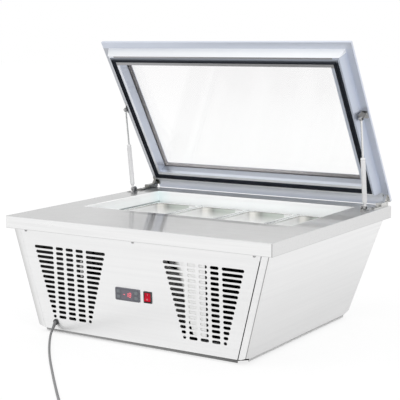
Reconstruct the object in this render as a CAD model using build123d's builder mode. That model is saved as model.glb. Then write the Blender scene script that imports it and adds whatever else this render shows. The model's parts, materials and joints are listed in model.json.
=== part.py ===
import os
from math import atan, atan2, ceil, cos, degrees, dist, pi, radians, sin, tan

from build123d import *

# Countertop display freezer for four ice cream pans, in millimetres.
# X runs across the front, Y from front to back, Z up from the surface it stands on.
# A depth is measured back from the front edge of the worktop.

# Worktop and body
worktop_width = 840.0
worktop_depth = 694.0
worktop_top = 320.0
lip_height = 34.0
sheet = 1.5
foot_height = 10.0
side_clearance, front_clearance = 3.6, 2.8
base_upstand, upstand_half = 8.0, 306.0
base_corner = 20.0
skirt_front, skirt_side = 4.2, 6.4
front_cut, rear_cut = (14.0, 24.0, 5.0), (14.0, 25.0, 6.5)
top_half_width = 404.0
bottom_half_width = 329.0
front_inset_top, front_inset_bottom = 16.0, 27.5
back_depth_top, back_depth_bottom = 678.0, 600.0
post_width = 20.5
left_gap, right_gap = 0.3, 2.8
partition_depth = 216.0

# Mouth, collar and tank
mouth_width, mouth_length = 684.2, 380.6
mouth_middle = 431.7
collar_wall = 4.0
ledge_drop = 35.2
tank_width, tank_length = 664.0, 346.0
tank_floor = 150.0
tank_sheet = 1.0

# Pans
pan_pitch = 167.4
rim_width, rim_length = 165.0, 360.0
pan_width, pan_length, pan_depth = 147.0, 342.0, 120.0
pan_sheet = 1.0
pan_taper = 2.0

# Lid, measured from its hinge axis as if closed
open_angle = 59.0
hinge_depth = 681.0
hinge_rise = 8.7
lid_width, lid_depth = 824.0, 533.0
lid_back = worktop_depth - hinge_depth
lid_rise = 22.6
flange = 8.0
lid_thickness = 28.0
crown_run = 27.0
rear_rail = 12.5
box_width, box_length = 783.4, 481.6
box_back = 31.0
box_drop = 28.0
box_bevel = 10.0
gasket_inset, gasket_width, gasket_drop = 15.5, 16.0, 31.0
sight_inset = 40.5
pane = 4.0
pane_seat = 5.0
spacer_height = 12.0
frame_wall, crown_cavity = 5.5, 22.0
box_wall, box_cavity = 12.5, 23.0

# Gas struts, with balls placed in depth and height
strut_x = 398.0
strut_low_depth, strut_low_rise = 563.0, 10.0
strut_high_depth, strut_high_rise = 389.5, 9.3
cylinder_length, cylinder_radius = 142.0, 7.5
rod_radius = 3.0
running_gap = 0.06

# Controls on the front panel
controls_z = 140.0
controller_x, controller_width, controller_height = -22.8, 78.0, 34.0
switch_x, switch_width, switch_height = 41.3, 26.0, 31.0
rocker_tilt = 8.0

# Grilles
grille_x = 212.5
grille_rows, grille_top, grille_bottom = 15, 240.0, 49.5
grille_half_top, grille_half_bottom = 120.2, 65.7
slot_length, slot_height = 25.0, 8.3

# Mains cord
cord = 6.5
gland_x, gland_z = -271.6, 33.3
gland_flange = 3.0
sleeve_length, sleeve_drop = 20.0, 54.0
coil_pitch, coil_layer = 7.2, 7.2
coil_inner = 27.5
coil_lift = 0.7
coil_turn = 1879.0

hinge_z = worktop_top + hinge_rise
lid_angle = radians(open_angle)
crown_y, crown_z = lid_back - crown_run, lid_rise + lid_thickness
rear_reach = hinge_depth + crown_y * cos(lid_angle) + crown_z * sin(lid_angle)
front = -rear_reach / 2
lip_bottom = worktop_top - lip_height
ledge_z = worktop_top - ledge_drop
well_y = front + mouth_middle
hinge_y = front + hinge_depth

pieces = {}


def between(z, bottom, top):
    return bottom + (top - bottom) * (z - foot_height) / (lip_bottom - foot_height)


def body_half(z):
    return between(z, bottom_half_width, top_half_width)


def body_front(z):
    return front + between(z, front_inset_bottom, front_inset_top)


def body_back(z):
    return front + between(z, back_depth_bottom, back_depth_top)


def ring(width, length, band):
    Rectangle(width, length)
    Rectangle(width - 2 * band, length - 2 * band, mode=Mode.SUBTRACT)


# Worktop: a tray turned over, with a folded lip and the mouth of the well
with BuildPart() as worktop:
    with BuildSketch(Plane.XY.offset(lip_bottom)):
        with Locations((0, front + worktop_depth / 2)):
            Rectangle(worktop_width, worktop_depth)
    extrude(amount=lip_height)
    fillet(worktop.edges().filter_by(Axis.Z), 3)
    fillet(worktop.faces().sort_by(Axis.Z)[-1].edges(), 2)
    with BuildSketch(Plane.XY.offset(lip_bottom)):
        with Locations((0, front + worktop_depth / 2)):
            RectangleRounded(worktop_width - 2 * sheet, worktop_depth - 2 * sheet, 1.5)
    extrude(amount=lip_height - sheet, mode=Mode.SUBTRACT)
    with BuildSketch(Plane.XY.offset(lip_bottom)):
        with Locations((0, well_y)):
            Rectangle(mouth_width, mouth_length)
    extrude(amount=lip_height, mode=Mode.SUBTRACT)
pieces["worktop"] = worktop

# Side panels: sloping sheets with a return at the front, which stop a little above the base plate's foot
# and have their lower corners cut off
side_low, panel_top = foot_height + side_clearance, worktop_top - sheet - 0.2


def side_section(z, side):
    half, near, far = body_half(z), body_front(z), body_back(z)
    across = (half, half, half - sheet, half - sheet, half - post_width, half - post_width)
    along = (near, far, far, near + sheet, near + sheet, near)
    return [(side * x, y) for x, y in zip(across, along)]


def corner_plane(side, corner_y, inward, cut):
    # through the ends of the cut on the three edges that meet at a lower corner, facing up
    across, along, rise = cut
    corner = Vector(side * body_half(side_low), corner_y, side_low)
    first = corner - Vector(side * across, 0, 0)
    normal = (corner + Vector(0, inward * along, 0) - first).cross(corner + Vector(0, 0, rise) - first)
    return Plane(first, z_dir=normal if normal.Z > 0 else -normal)


front_corners = {side: corner_plane(side, body_front(side_low), 1, front_cut) for side in (-1, 1)}
rear_corners = {side: corner_plane(side, body_back(side_low), -1, rear_cut) for side in (-1, 1)}
for side, word in ((-1, "left"), (1, "right")):
    with BuildPart() as side_panel:
        for z in (side_low, panel_top):
            with BuildSketch(Plane.XY.offset(z)):
                Polygon(*side_section(z, side), align=None)
        loft(ruled=True)
        for corner in (front_corners[side], rear_corners[side]):
            split(bisect_by=corner, keep=Keep.TOP)
    pieces[f"{word}_side_panel"] = side_panel

# Rear panel between the side panels
with BuildPart() as rear_panel:
    for z in (side_low, panel_top):
        with BuildSketch(Plane.XY.offset(z)):
            with Locations((0, body_back(z) - sheet / 2)):
                Rectangle(2 * (body_half(z) - sheet), sheet)
    loft(ruled=True)
    for side in (-1, 1):
        split(bisect_by=rear_corners[side], keep=Keep.TOP)
pieces["rear_panel"] = rear_panel

# Base plate with air slots under the machine compartment, turned up at the front and along the compartment's sides,
# with a low skirt below it
floor_z = foot_height + sheet
base_half = bottom_half_width - sheet - 0.2
base_near, base_far = body_front(foot_height) + sheet + 0.2, body_back(foot_height) - sheet - 0.2
upstand_far = front + partition_depth - 0.5
with BuildPart() as base_plate:
    with BuildSketch(Plane.XY.offset(foot_height)) as base_outline:
        with Locations((0, (base_near + base_far) / 2)):
            Rectangle(2 * base_half, base_far - base_near)
        chamfer(base_outline.vertices(), base_corner)
        with Locations((0, front + 125)), GridLocations(110, 30, 4, 3):
            SlotOverall(80, 8, mode=Mode.SUBTRACT)
    extrude(amount=sheet)
    with BuildSketch(Plane.XY.offset(floor_z)):
        with Locations((0, base_near + sheet / 2)):
            Rectangle(2 * upstand_half, sheet)
        with Locations(*[(side * (base_half - sheet / 2), (base_near + base_corner + upstand_far) / 2) for side in (-1, 1)]):
            Rectangle(sheet, upstand_far - base_near - base_corner)
    extrude(amount=base_upstand)
    with BuildSketch(Plane.XY.offset(skirt_front)):
        with Locations((0, base_near + sheet / 2)):
            Rectangle(2 * upstand_half, sheet)
    extrude(amount=floor_z - skirt_front)
    with BuildSketch(Plane.XY.offset(skirt_side)):
        with Locations(*[(side * (base_half - sheet / 2), (base_near + base_far) / 2) for side in (-1, 1)]):
            Rectangle(sheet, base_far - base_near - 2 * base_corner)
    extrude(amount=floor_z - skirt_side)
pieces["base_plate"] = base_plate

# Rubber feet
with BuildPart() as feet:
    with Locations((0, front + 312.5, foot_height / 2)), GridLocations(560, 475, 2, 2):
        Cylinder(16, foot_height)
    chamfer(feet.edges().group_by(Axis.Z)[0], 2)
pieces["rubber_feet"] = feet

# Front panel, its plane and its cut-outs
panel_tilt = atan((front_inset_bottom - front_inset_top) / (lip_bottom - foot_height))
panel_out = Vector(0, -cos(panel_tilt), -sin(panel_tilt))
panel_frame = Plane(origin=(0, body_front(controls_z), controls_z), x_dir=(1, 0, 0), z_dir=panel_out)
screw_z = 281.7
rail_height = 22.0


def on_panel(z):
    return (z - controls_z) / cos(panel_tilt)


def panel_corner(z, side):
    gap = right_gap if side > 0 else left_gap
    return side * (body_half(z) - post_width - gap), on_panel(z)


grille_pitch = (grille_top - grille_bottom) / (grille_rows - 1)
grille_taper = (grille_half_top - grille_half_bottom) / (grille_rows - 1)
column_pitch = 34.0
outer_start = 55.8
row_heights = [on_panel(grille_top - row * grille_pitch) for row in range(grille_rows)]
screw_places = [(x, on_panel(screw_z)) for x in (-362, 0, 362)]
panel_base, panel_height = foot_height + front_clearance, worktop_top - 4

with BuildPart() as front_panel:
    with BuildSketch(panel_frame):
        corners = [(panel_base, -1), (panel_base, 1), (panel_height, 1), (panel_height, -1)]
        Polygon(*[panel_corner(z, side) for z, side in corners], align=None)
        middles = [side * grille_x + column * column_pitch for side in (-1, 1) for column in (-1, 0, 1)]
        with Locations(*[(x, v) for x in middles for v in row_heights]):
            SlotOverall(slot_length, slot_height, mode=Mode.SUBTRACT)
        for row, v in enumerate(row_heights):
            length = grille_half_top - row * grille_taper - outer_start
            reach = outer_start + length / 2
            ends = [side * grille_x + edge * reach for side in (-1, 1) for edge in (-1, 1)]
            with Locations(*[(x, v) for x in ends]):
                SlotOverall(length, slot_height, mode=Mode.SUBTRACT)
        with Locations((controller_x, 0)):
            Rectangle(controller_width - 6.6, controller_height - 4.6, mode=Mode.SUBTRACT)
        with Locations((switch_x, 0)):
            Rectangle(switch_width - 4.6, switch_height - 3.6, mode=Mode.SUBTRACT)
        with Locations((gland_x, on_panel(gland_z))):
            Circle(7.1, mode=Mode.SUBTRACT)
        with Locations(*screw_places):
            Circle(2.2, mode=Mode.SUBTRACT)
    extrude(amount=-sheet)
pieces["front_panel"] = front_panel

# Rail behind the top of the front panel, which takes its screws
with BuildPart() as front_rail:
    with BuildSketch(panel_frame.offset(-sheet)):
        with Locations((0, on_panel(screw_z))):
            Rectangle(760, rail_height)
        with Locations(*screw_places):
            Circle(2.2, mode=Mode.SUBTRACT)
    extrude(amount=-2)
pieces["front_rail"] = front_rail

# Collar that lines the mouth
with BuildPart() as collar:
    with BuildSketch(Plane.XY.offset(ledge_z)):
        with Locations((0, well_y)):
            ring(mouth_width - 0.6, mouth_length - 0.6, collar_wall)
    extrude(amount=ledge_drop - 0.1)
    fillet(collar.faces().sort_by(Axis.Z)[-1].inner_wires()[0].edges(), 2)
pieces["well_collar"] = collar

# Tank liner: a tray with a ledge round its top
with BuildPart() as liner:
    with BuildSketch(Plane.XY.offset(tank_floor - tank_sheet)):
        with Locations((0, well_y)):
            RectangleRounded(tank_width + 2 * tank_sheet, tank_length + 2 * tank_sheet, 13)
    extrude(amount=ledge_z - tank_floor + tank_sheet)
    with BuildSketch(Plane.XY.offset(ledge_z - tank_sheet)):
        with Locations((0, well_y)):
            Rectangle(mouth_width - 0.6, mouth_length - 0.6)
    extrude(amount=tank_sheet)
    with BuildSketch(Plane.XY.offset(tank_floor)):
        with Locations((0, well_y)):
            RectangleRounded(tank_width, tank_length, 12)
    extrude(amount=ledge_z - tank_floor, mode=Mode.SUBTRACT)
pieces["tank_liner"] = liner

# Divider bars under the rims of neighbouring pans
with BuildPart() as dividers:
    with Locations((0, well_y, ledge_z - 4)), GridLocations(pan_pitch, 1, 3, 1):
        Box(10, tank_length - 0.4, 8)
    fillet(dividers.edges().filter_by(Axis.Y), 1)
pieces["divider_bars"] = dividers

# Pans, which hang from their rims
rim_z = ledge_z + 0.3
rim_sheet = 1.6


def pan_bowl(pan_x, inset):
    with BuildSketch(Plane.XY.offset(rim_z)) as outline:
        with Locations((pan_x, well_y)):
            RectangleRounded(pan_width - 2 * inset, pan_length - 2 * inset, 22 - inset)
    extrude(outline.sketch, amount=inset - pan_depth, taper=pan_taper)


for number in range(4):
    pan_x = (number - 1.5) * pan_pitch
    with BuildPart() as hollow:
        pan_bowl(pan_x, pan_sheet)
        fillet(hollow.faces().sort_by(Axis.Z)[0].edges(), 8)
        extrude(hollow.faces().sort_by(Axis.Z)[-1], amount=rim_sheet)
    with BuildPart() as pan:
        pan_bowl(pan_x, 0)
        fillet(pan.faces().sort_by(Axis.Z)[0].edges(), 9)
        with BuildSketch(Plane.XY.offset(rim_z)):
            with Locations((pan_x, well_y)):
                RectangleRounded(rim_width, rim_length, 14)
        extrude(amount=rim_sheet)
        add(hollow.part, mode=Mode.SUBTRACT)
        fillet(pan.edges().group_by(Axis.Z)[-1], 0.7)
    pieces[f"pan_{number + 1}"] = pan

# Foam around the tank, between the partition and the outer panels
foam_bottom, foam_top = 100.0, worktop_top - sheet - 0.5
foam_near = front + partition_depth + sheet
tube_bed = 9.0


def foam_section(z):
    half, far = body_half(z) - sheet - 0.5, body_back(z) - sheet - 0.5
    return [(-half, foam_near), (half, foam_near), (half, far), (-half, far)]


with BuildPart() as foam:
    for z in (foam_bottom, foam_top):
        with BuildSketch(Plane.XY.offset(z)):
            Polygon(*foam_section(z), align=None)
    loft(ruled=True)
    with BuildSketch(Plane.XY.offset(ledge_z - tank_sheet)):
        with Locations((0, well_y)):
            Rectangle(mouth_width + 2, mouth_length + 2)
    extrude(amount=ledge_drop + tank_sheet, mode=Mode.SUBTRACT)
    with BuildSketch(Plane.XY.offset(tank_floor - tank_sheet)):
        with Locations((0, well_y)):
            Rectangle(tank_width + 2.4, tank_length + 2.4)
    extrude(amount=ledge_z - tank_floor, mode=Mode.SUBTRACT)
    with BuildSketch(Plane.XY.offset(tank_floor - tank_sheet)):
        with Locations((0, well_y)):
            Rectangle(640, 300)
    extrude(amount=-tube_bed, mode=Mode.SUBTRACT)
pieces["insulation_foam"] = foam

# Partition in front of the foam
with BuildPart() as partition:
    with BuildSketch(Plane.XZ.offset(-(front + partition_depth))):
        low, high = floor_z, foam_top
        low_half, high_half = body_half(low) - sheet - 0.3, body_half(high) - sheet - 0.3
        Polygon((-low_half, low), (low_half, low), (high_half, high), (-high_half, high), align=None)
    extrude(amount=-sheet)
pieces["machine_partition"] = partition


def pipe(points, bend, radius):
    with BuildLine() as path:
        FilletPolyline(*points, radius=bend)
    with BuildSketch(Plane(path.line @ 0, z_dir=path.line % 0)) as section:
        Circle(radius)
    sweep(section.sketch, path=path.line)


def serpentine(first, last, passes, start, step):
    turns = []
    for number in range(passes):
        ends = (first, last) if number % 2 == 0 else (last, first)
        turns += [(end, start + number * step) for end in ends]
    return turns


# Evaporator tube on the underside of the tank
evaporator_z = tank_floor - tank_sheet - tube_bed / 2
evaporator_path = serpentine(-295, 295, 7, -120, 40)
with BuildPart() as evaporator:
    pipe([(x, well_y + y, evaporator_z) for x, y in evaporator_path], 19.5, 4)
pieces["evaporator_tube"] = evaporator

# Temperature probe along the back wall of the tank
with BuildPart() as probe:
    with Locations(Plane((0, well_y + tank_length / 2 - 2.6, tank_floor + 26), z_dir=(1, 0, 0))):
        Cylinder(2.4, 44)
    fillet(probe.edges(), 1)
pieces["temperature_probe"] = probe

# Compressor behind the left grille
compressor_x, compressor_y = -190.0, front + 125
compressor_at = (compressor_x, compressor_y)
grommet_height, foot_plate = 14.0, 2.5
shell_z, shell_height = floor_z + grommet_height + foot_plate, 142.0
grommet_grid = (190, 90, 2, 2)

with BuildPart() as grommets:
    with Locations((*compressor_at, floor_z + grommet_height / 2)), GridLocations(*grommet_grid):
        Cylinder(10, grommet_height)
    fillet(grommets.edges(), 2)
pieces["compressor_grommets"] = grommets

with BuildPart() as compressor_foot:
    with BuildSketch(Plane.XY.offset(floor_z + grommet_height)):
        with Locations(compressor_at):
            RectangleRounded(224, 118, 14)
    extrude(amount=foot_plate)
pieces["compressor_foot_plate"] = compressor_foot

with BuildPart() as shell:
    with BuildSketch(Plane.XY.offset(shell_z)):
        with Locations(compressor_at):
            Ellipse(86, 60)
    extrude(amount=shell_height)
    fillet(shell.faces().filter_by(Plane.XY).edges(), 26)
    with BuildSketch(Plane.XY.offset(shell_z + shell_height / 2 - 3)):
        with Locations(compressor_at):
            Ellipse(90, 64)
    extrude(amount=6)
    with Locations((*compressor_at, shell_z + shell_height / 2)):
        Cylinder(44, shell_height - 40, mode=Mode.SUBTRACT)
pieces["compressor_shell"] = shell

with BuildPart() as terminal_cover:
    with Locations((compressor_x + 106, compressor_y, shell_z + 50)):
        Box(29, 42, 60)
    fillet(terminal_cover.edges(), 3)
pieces["terminal_cover"] = terminal_cover

# Filter drier close behind the left grille
drier_x, drier_y = -192.0, front + 44
drier_low, drier_high = 164.0, 211.0
with BuildPart() as drier:
    with BuildSketch(Plane((drier_x, drier_y, 0), x_dir=(1, 0, 0), z_dir=(0, -1, 0))):
        with BuildLine():
            Polyline(
                (0, drier_low), (3.2, drier_low), (4.6, drier_low + 6), (4.6, drier_high - 7), (3.2, drier_high),
                (0, drier_high), close=True,
            )
        make_face()
    revolve(axis=Axis((drier_x, drier_y, 0), (0, 0, 1)))
pieces["filter_drier"] = drier

# Condenser: a serpentine tube through upright fins
condenser_y = front + 89
condenser_low, condenser_high, condenser_passes = 50.0, 210.0, 8
tube_step = (condenser_low - condenser_high) / (condenser_passes - 1)
tube_heights = [condenser_high + number * tube_step for number in range(condenser_passes)]
condenser_path = serpentine(118, 316, condenser_passes, condenser_high, tube_step)
fin_middle = (condenser_low + condenser_high) / 2
fin_count = 29
with BuildPart() as condenser:
    pipe([(x, condenser_y, z) for x, z in condenser_path], 11, 4)
    for number in range(fin_count):
        is_end = number in (0, fin_count - 1)
        low = floor_z if is_end else fin_middle - 95
        high = fin_middle + 95
        with BuildSketch(Plane.YZ.offset(132 + 6 * number)):
            with Locations((condenser_y, (low + high) / 2)):
                Rectangle(44 if is_end else 38, high - low)
            with Locations(*[(condenser_y, z) for z in tube_heights]):
                Circle(4.1, mode=Mode.SUBTRACT)
        extrude(amount=1.5 if is_end else 0.5)
pieces["condenser"] = condenser

# Fan behind the condenser: shroud with two straps for the motor, motor, and the fan itself
fan_x, fan_z = 216.0, 130.0
shroud_y = front + 112
motor_y, motor_length, motor_radius = front + 144, 42.0, 22.0
strap_x = 80.0
strap_near, strap_far = shroud_y + sheet, motor_y + motor_length / 2
fan_plane = Plane((fan_x, motor_y, fan_z), x_dir=(1, 0, 0), z_dir=(0, 1, 0))

with BuildPart() as shroud:
    with BuildSketch(Plane.XZ.offset(-shroud_y)):
        with Locations((fan_x, (floor_z + 228) / 2)):
            Rectangle(196, 228 - floor_z)
        with Locations((fan_x, fan_z)):
            Circle(72, mode=Mode.SUBTRACT)
    extrude(amount=-sheet)
    for side in (-1, 1):
        outer, inner = fan_x + side * strap_x, fan_x + side * (motor_radius + 0.05)
        knee = outer - side * 2
        with BuildSketch(Plane.XY.offset(fan_z - 7)):
            Polygon(
                (outer, strap_near), (knee, strap_near), (knee, strap_far - 2), (inner, strap_far - 2),
                (inner, strap_far), (outer, strap_far), align=None,
            )
        extrude(amount=14)
pieces["fan_shroud"] = shroud

with BuildPart() as motor:
    with BuildSketch(fan_plane):
        Circle(motor_radius)
    extrude(amount=motor_length)
    fillet(motor.edges(), 3)
    with BuildSketch(fan_plane):
        Circle(rod_radius + running_gap)
    extrude(amount=16, mode=Mode.SUBTRACT)
pieces["fan_motor"] = motor

blade_y = front + 128
with BuildPart() as fan:
    with Locations(Plane((fan_x, blade_y, fan_z), z_dir=(0, 1, 0))):
        Cylinder(18, 20)
    with Locations(Plane((fan_x, blade_y + 19, fan_z), z_dir=(0, 1, 0))):
        Cylinder(rod_radius, 18)
    for number in range(5):
        turn = radians(72 * number)
        radial = Vector(cos(turn), 0, sin(turn))
        around = Vector(-sin(turn), 0, cos(turn))
        for radius, chord, pitch in ((16, 20, 38), (68, 44, 20)):
            along = around * cos(radians(pitch)) + Vector(0, 1, 0) * sin(radians(pitch))
            at = Vector(fan_x, blade_y, fan_z) + radial * radius
            with BuildSketch(Plane(at, x_dir=along, z_dir=radial)):
                Rectangle(chord, 2)
        loft()
pieces["fan"] = fan

# Pale sheet that leads the air from the right grille: flat, close behind the front panel, hung from the rail,
# with its far edge cut back in a curve
baffle_sheet, baffle_depth = 1.2, 0.4
baffle_edge = [
    (126.0, 248.0), (128.5, 240.0), (139.6, 212.8), (148.0, 185.6), (154.0, 158.4), (159.0, 135.0), (163.5, 117.5),
    (168.5, 90.0), (176.5, 63.0), (178.5, 56.5), (216.8, 56.5), (217.8, 248.0),
]
with BuildPart() as baffle:
    with BuildSketch(panel_frame.offset(-sheet - baffle_depth)):
        hung = on_panel(screw_z) - rail_height / 2
        Polygon((217.8, hung), (126.0, hung), *[(x, on_panel(z)) for x, z in baffle_edge], align=None)
    extrude(amount=-baffle_sheet)
pieces["air_baffle"] = baffle

# Refrigerant pipes: to the condenser, to the drier, to and from the tank
shell_top = shell_z + shell_height
with BuildPart() as pipes:
    high_y = compressor_y + 22
    pipe(
        [
            (-165, high_y, shell_top), (-165, high_y, 250), (60, high_y, 250), (60, condenser_y, 250),
            (60, condenser_y, condenser_high), (117.5, condenser_y, condenser_high),
        ],
        18, 3,
    )
    pipe(
        [
            (117.5, condenser_y, condenser_low), (72, condenser_y, condenser_low), (72, drier_y, condenser_low),
            (drier_x, drier_y, condenser_low), (drier_x, drier_y, drier_low),
        ],
        18, 3,
    )
    wall_y = front + partition_depth
    pipe([(drier_x, drier_y, drier_high), (drier_x, drier_y, 270), (drier_x, wall_y, 270)], 16, 1.5)
    pipe([(-215, compressor_y, shell_top), (-215, compressor_y, 232), (-215, wall_y, 232)], 20, 4)
pieces["refrigerant_pipes"] = pipes

# Temperature controller: housing, window and four buttons
bezel_depth = 3.0
window_width, window_height = 36.0, 25.0
button_width, button_height = 11.0, 9.0
button_places = {
    "left_upper": (-28.5, 7), "left_lower": (-28.5, -7), "right_upper": (28.5, 7), "right_lower": (28.5, -7),
}
controller_frame = Plane(
    panel_frame.from_local_coords(Vector(controller_x, 0, 0)), x_dir=(1, 0, 0), z_dir=panel_out
)
with BuildPart() as controller:
    with BuildSketch(controller_frame):
        RectangleRounded(controller_width, controller_height, 3)
    extrude(amount=bezel_depth)
    chamfer(controller.edges().group_by(Axis.Y)[0], 0.8)
    with BuildSketch(controller_frame):
        Rectangle(controller_width - 7, controller_height - 5)
    extrude(amount=-55)
    with BuildSketch(controller_frame.offset(bezel_depth)):
        Rectangle(window_width, window_height)
    extrude(amount=-1.2, mode=Mode.SUBTRACT)
    with BuildSketch(controller_frame.offset(bezel_depth)):
        with Locations(*button_places.values()):
            Rectangle(button_width + 0.6, button_height + 0.6)
    extrude(amount=-8, mode=Mode.SUBTRACT)
pieces["controller_housing"] = controller

with BuildPart() as window:
    with BuildSketch(controller_frame.offset(bezel_depth - 1.2)):
        Rectangle(window_width - 0.2, window_height - 0.2)
    extrude(amount=1.2)
pieces["controller_window"] = window

for word, place in button_places.items():
    with BuildPart() as button:
        with BuildSketch(controller_frame.offset(-2)):
            with Locations(place):
                RectangleRounded(button_width, button_height, 1.5)
        extrude(amount=bezel_depth + 2.7)
        fillet(button.faces().sort_by(Axis.Y)[0].edges(), 0.5)
    pieces[f"button_{word}"] = button

# Rocker switch: housing and the rocker, tipped with its top edge pressed in
pivot_back = 3.0
switch_frame = Plane(
    panel_frame.from_local_coords(Vector(switch_x, 0, 0)), x_dir=(1, 0, 0), z_dir=panel_out
)
pivot_at = switch_frame.from_local_coords(Vector(0, 0, -pivot_back))
rocker_width = 19.2
with BuildPart() as switch:
    with BuildSketch(switch_frame):
        RectangleRounded(switch_width, switch_height, 2)
    extrude(amount=2.5)
    chamfer(switch.edges().group_by(Axis.Y)[0], 0.8)
    with BuildSketch(switch_frame):
        Rectangle(switch_width - 5, switch_height - 4)
    extrude(amount=-26)
    with BuildSketch(switch_frame.offset(2.5)):
        Rectangle(rocker_width + 0.8, 25.6)
    extrude(amount=-16, mode=Mode.SUBTRACT)
    with Locations(Plane(pivot_at, z_dir=(1, 0, 0))):
        Cylinder(1.2 + running_gap, switch_width, mode=Mode.SUBTRACT)
pieces["switch_housing"] = switch

rocker_angle = radians(rocker_tilt)
rocker_up = panel_frame.y_dir * cos(rocker_angle) - panel_frame.z_dir * sin(rocker_angle)
with BuildPart() as rocker:
    at = pivot_at - Vector(rocker_width / 2, 0, 0)
    with BuildSketch(Plane(at, x_dir=rocker_up, z_dir=(1, 0, 0))):
        Polygon((-11, 7), (0, 5), (11, 7), (9, -4), (-9, -4), align=None)
    extrude(amount=rocker_width)
    with Locations(Plane(pivot_at, z_dir=(1, 0, 0))):
        Cylinder(1.2, rocker_width + 1.4)
pieces["switch_rocker"] = rocker

# Lid, built on a plane that is turned open about the hinge axis
lid_up = Vector(0, sin(lid_angle), cos(lid_angle))
lid_frame = Plane((0, hinge_y, hinge_z), x_dir=(1, 0, 0), z_dir=lid_up)
lid_middle = lid_back - lid_depth / 2
box_middle = lid_back - box_back - box_length / 2
sight_width, sight_length = box_width - 2 * sight_inset, box_length - 2 * sight_inset
glass_width, glass_length = sight_width + 20, sight_length + 20


def lid_plane(height):
    return lid_frame.offset(lid_rise + height)


with BuildPart() as outer_frame:
    with BuildSketch(lid_plane(0)):
        with Locations((0, lid_middle)):
            Rectangle(lid_width, lid_depth)
        with Locations((0, lid_back + rear_rail / 2)):
            Rectangle(798, rear_rail)
    extrude(amount=flange)
    for height, run in ((flange, 0), (lid_thickness, crown_run)):
        with BuildSketch(lid_plane(height)):
            with Locations((0, lid_middle)):
                Rectangle(lid_width - 2 * run, lid_depth - 2 * run)
    loft()
    with BuildSketch(lid_plane(0)):
        with Locations((0, box_middle)):
            ring(box_width - 2 * frame_wall, box_length - 2 * frame_wall, crown_cavity)
    extrude(amount=lid_thickness - 2.5, mode=Mode.SUBTRACT)
    with BuildSketch(lid_plane(0)):
        with Locations((0, box_middle)):
            Rectangle(glass_width + 1, glass_length + 1)
    extrude(amount=pane_seat + 2 * pane + spacer_height, mode=Mode.SUBTRACT)
    with BuildSketch(lid_plane(0)):
        with Locations((0, box_middle)):
            Rectangle(sight_width, sight_length)
    extrude(amount=lid_thickness, mode=Mode.SUBTRACT)
pieces["lid_outer_frame"] = outer_frame

with BuildPart() as inner_frame:
    for height, run in ((0, 0), (-box_drop, box_bevel)):
        with BuildSketch(lid_plane(height)):
            with Locations((0, box_middle)):
                Rectangle(box_width - 2 * run, box_length - 2 * run)
    loft()
    with BuildSketch(lid_plane(0)):
        with Locations((0, box_middle)):
            ring(box_width - 2 * box_wall, box_length - 2 * box_wall, sight_inset - box_wall - 2.5)
    extrude(amount=-box_cavity, mode=Mode.SUBTRACT)
    with BuildSketch(lid_plane(0)):
        with Locations((0, box_middle)):
            Rectangle(glass_width, glass_length)
    extrude(amount=pane_seat)
    with BuildSketch(lid_plane(-box_drop)):
        with Locations((0, box_middle)):
            Rectangle(sight_width, sight_length)
    extrude(amount=box_drop + pane_seat, mode=Mode.SUBTRACT)
    with BuildSketch(lid_plane(-box_drop)):
        with Locations((0, box_middle)):
            ring(box_width - 2 * gasket_inset, box_length - 2 * gasket_inset, gasket_width)
    extrude(amount=3, mode=Mode.SUBTRACT)
pieces["lid_inner_frame"] = inner_frame

with BuildPart() as gasket:
    with BuildSketch(lid_plane(-gasket_drop)):
        with Locations((0, box_middle)):
            ring(box_width - 2 * gasket_inset - 0.2, box_length - 2 * gasket_inset - 0.2, gasket_width - 0.2)
    extrude(amount=gasket_drop - box_drop + 3)
    groove_inset = gasket_inset + gasket_width / 2 - 1.5
    with BuildSketch(lid_plane(-gasket_drop)):
        with Locations((0, box_middle)):
            ring(box_width - 2 * groove_inset, box_length - 2 * groove_inset, 3)
    extrude(amount=2.5, mode=Mode.SUBTRACT)
pieces["lid_gasket"] = gasket

for word, height in (("inner", pane_seat), ("outer", pane_seat + pane + spacer_height)):
    with BuildPart() as glass:
        with BuildSketch(lid_plane(height)):
            with Locations((0, box_middle)):
                Rectangle(glass_width, glass_length)
        extrude(amount=pane)
    pieces[f"{word}_pane"] = glass

with BuildPart() as spacer:
    with BuildSketch(lid_plane(pane_seat + pane)):
        with Locations((0, box_middle)):
            ring(glass_width, glass_length, 13)
    extrude(amount=spacer_height)
pieces["pane_spacer"] = spacer

# Hinges near the back corners: base with leaf, pin, and the arm under the lid's flange
pin_radius = 2.5
leaf_x, leaf_width = 402.0, 20.0
leaf_near, block_near, block_far = front + 600, front + 645, front + 692
leaf_height, block_height = 3.5, 12.5
arm_width = 8.0
with BuildPart() as hinge_bases:
    for side in (-1, 1):
        with BuildSketch(Plane.XY.offset(worktop_top)):
            with Locations((side * leaf_x, (leaf_near + block_far) / 2)):
                RectangleRounded(leaf_width, block_far - leaf_near, 4)
        extrude(amount=leaf_height)
        with BuildSketch(Plane.XY.offset(worktop_top + leaf_height)):
            with Locations((side * leaf_x, (block_near + block_far) / 2)):
                Rectangle(leaf_width - 2, block_far - block_near)
        extrude(amount=block_height - leaf_height)
    fillet(hinge_bases.edges().group_by(Axis.Z)[-1], 1.5)
    for side in (-1, 1):
        with Locations((side * leaf_x, front + 681.5, worktop_top + leaf_height + 6)):
            Box(arm_width + 1, 21.2, 12, mode=Mode.SUBTRACT)
        with Locations(Plane((side * leaf_x, hinge_y, hinge_z), z_dir=(1, 0, 0))):
            Cylinder(pin_radius + 0.02, leaf_width, mode=Mode.SUBTRACT)
pieces["hinge_bases"] = hinge_bases

with BuildPart() as hinge_pins:
    for side in (-1, 1):
        with Locations(Plane((side * leaf_x, hinge_y, hinge_z), z_dir=(1, 0, 0))):
            Cylinder(pin_radius, leaf_width - 2)
pieces["hinge_pins"] = hinge_pins

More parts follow.
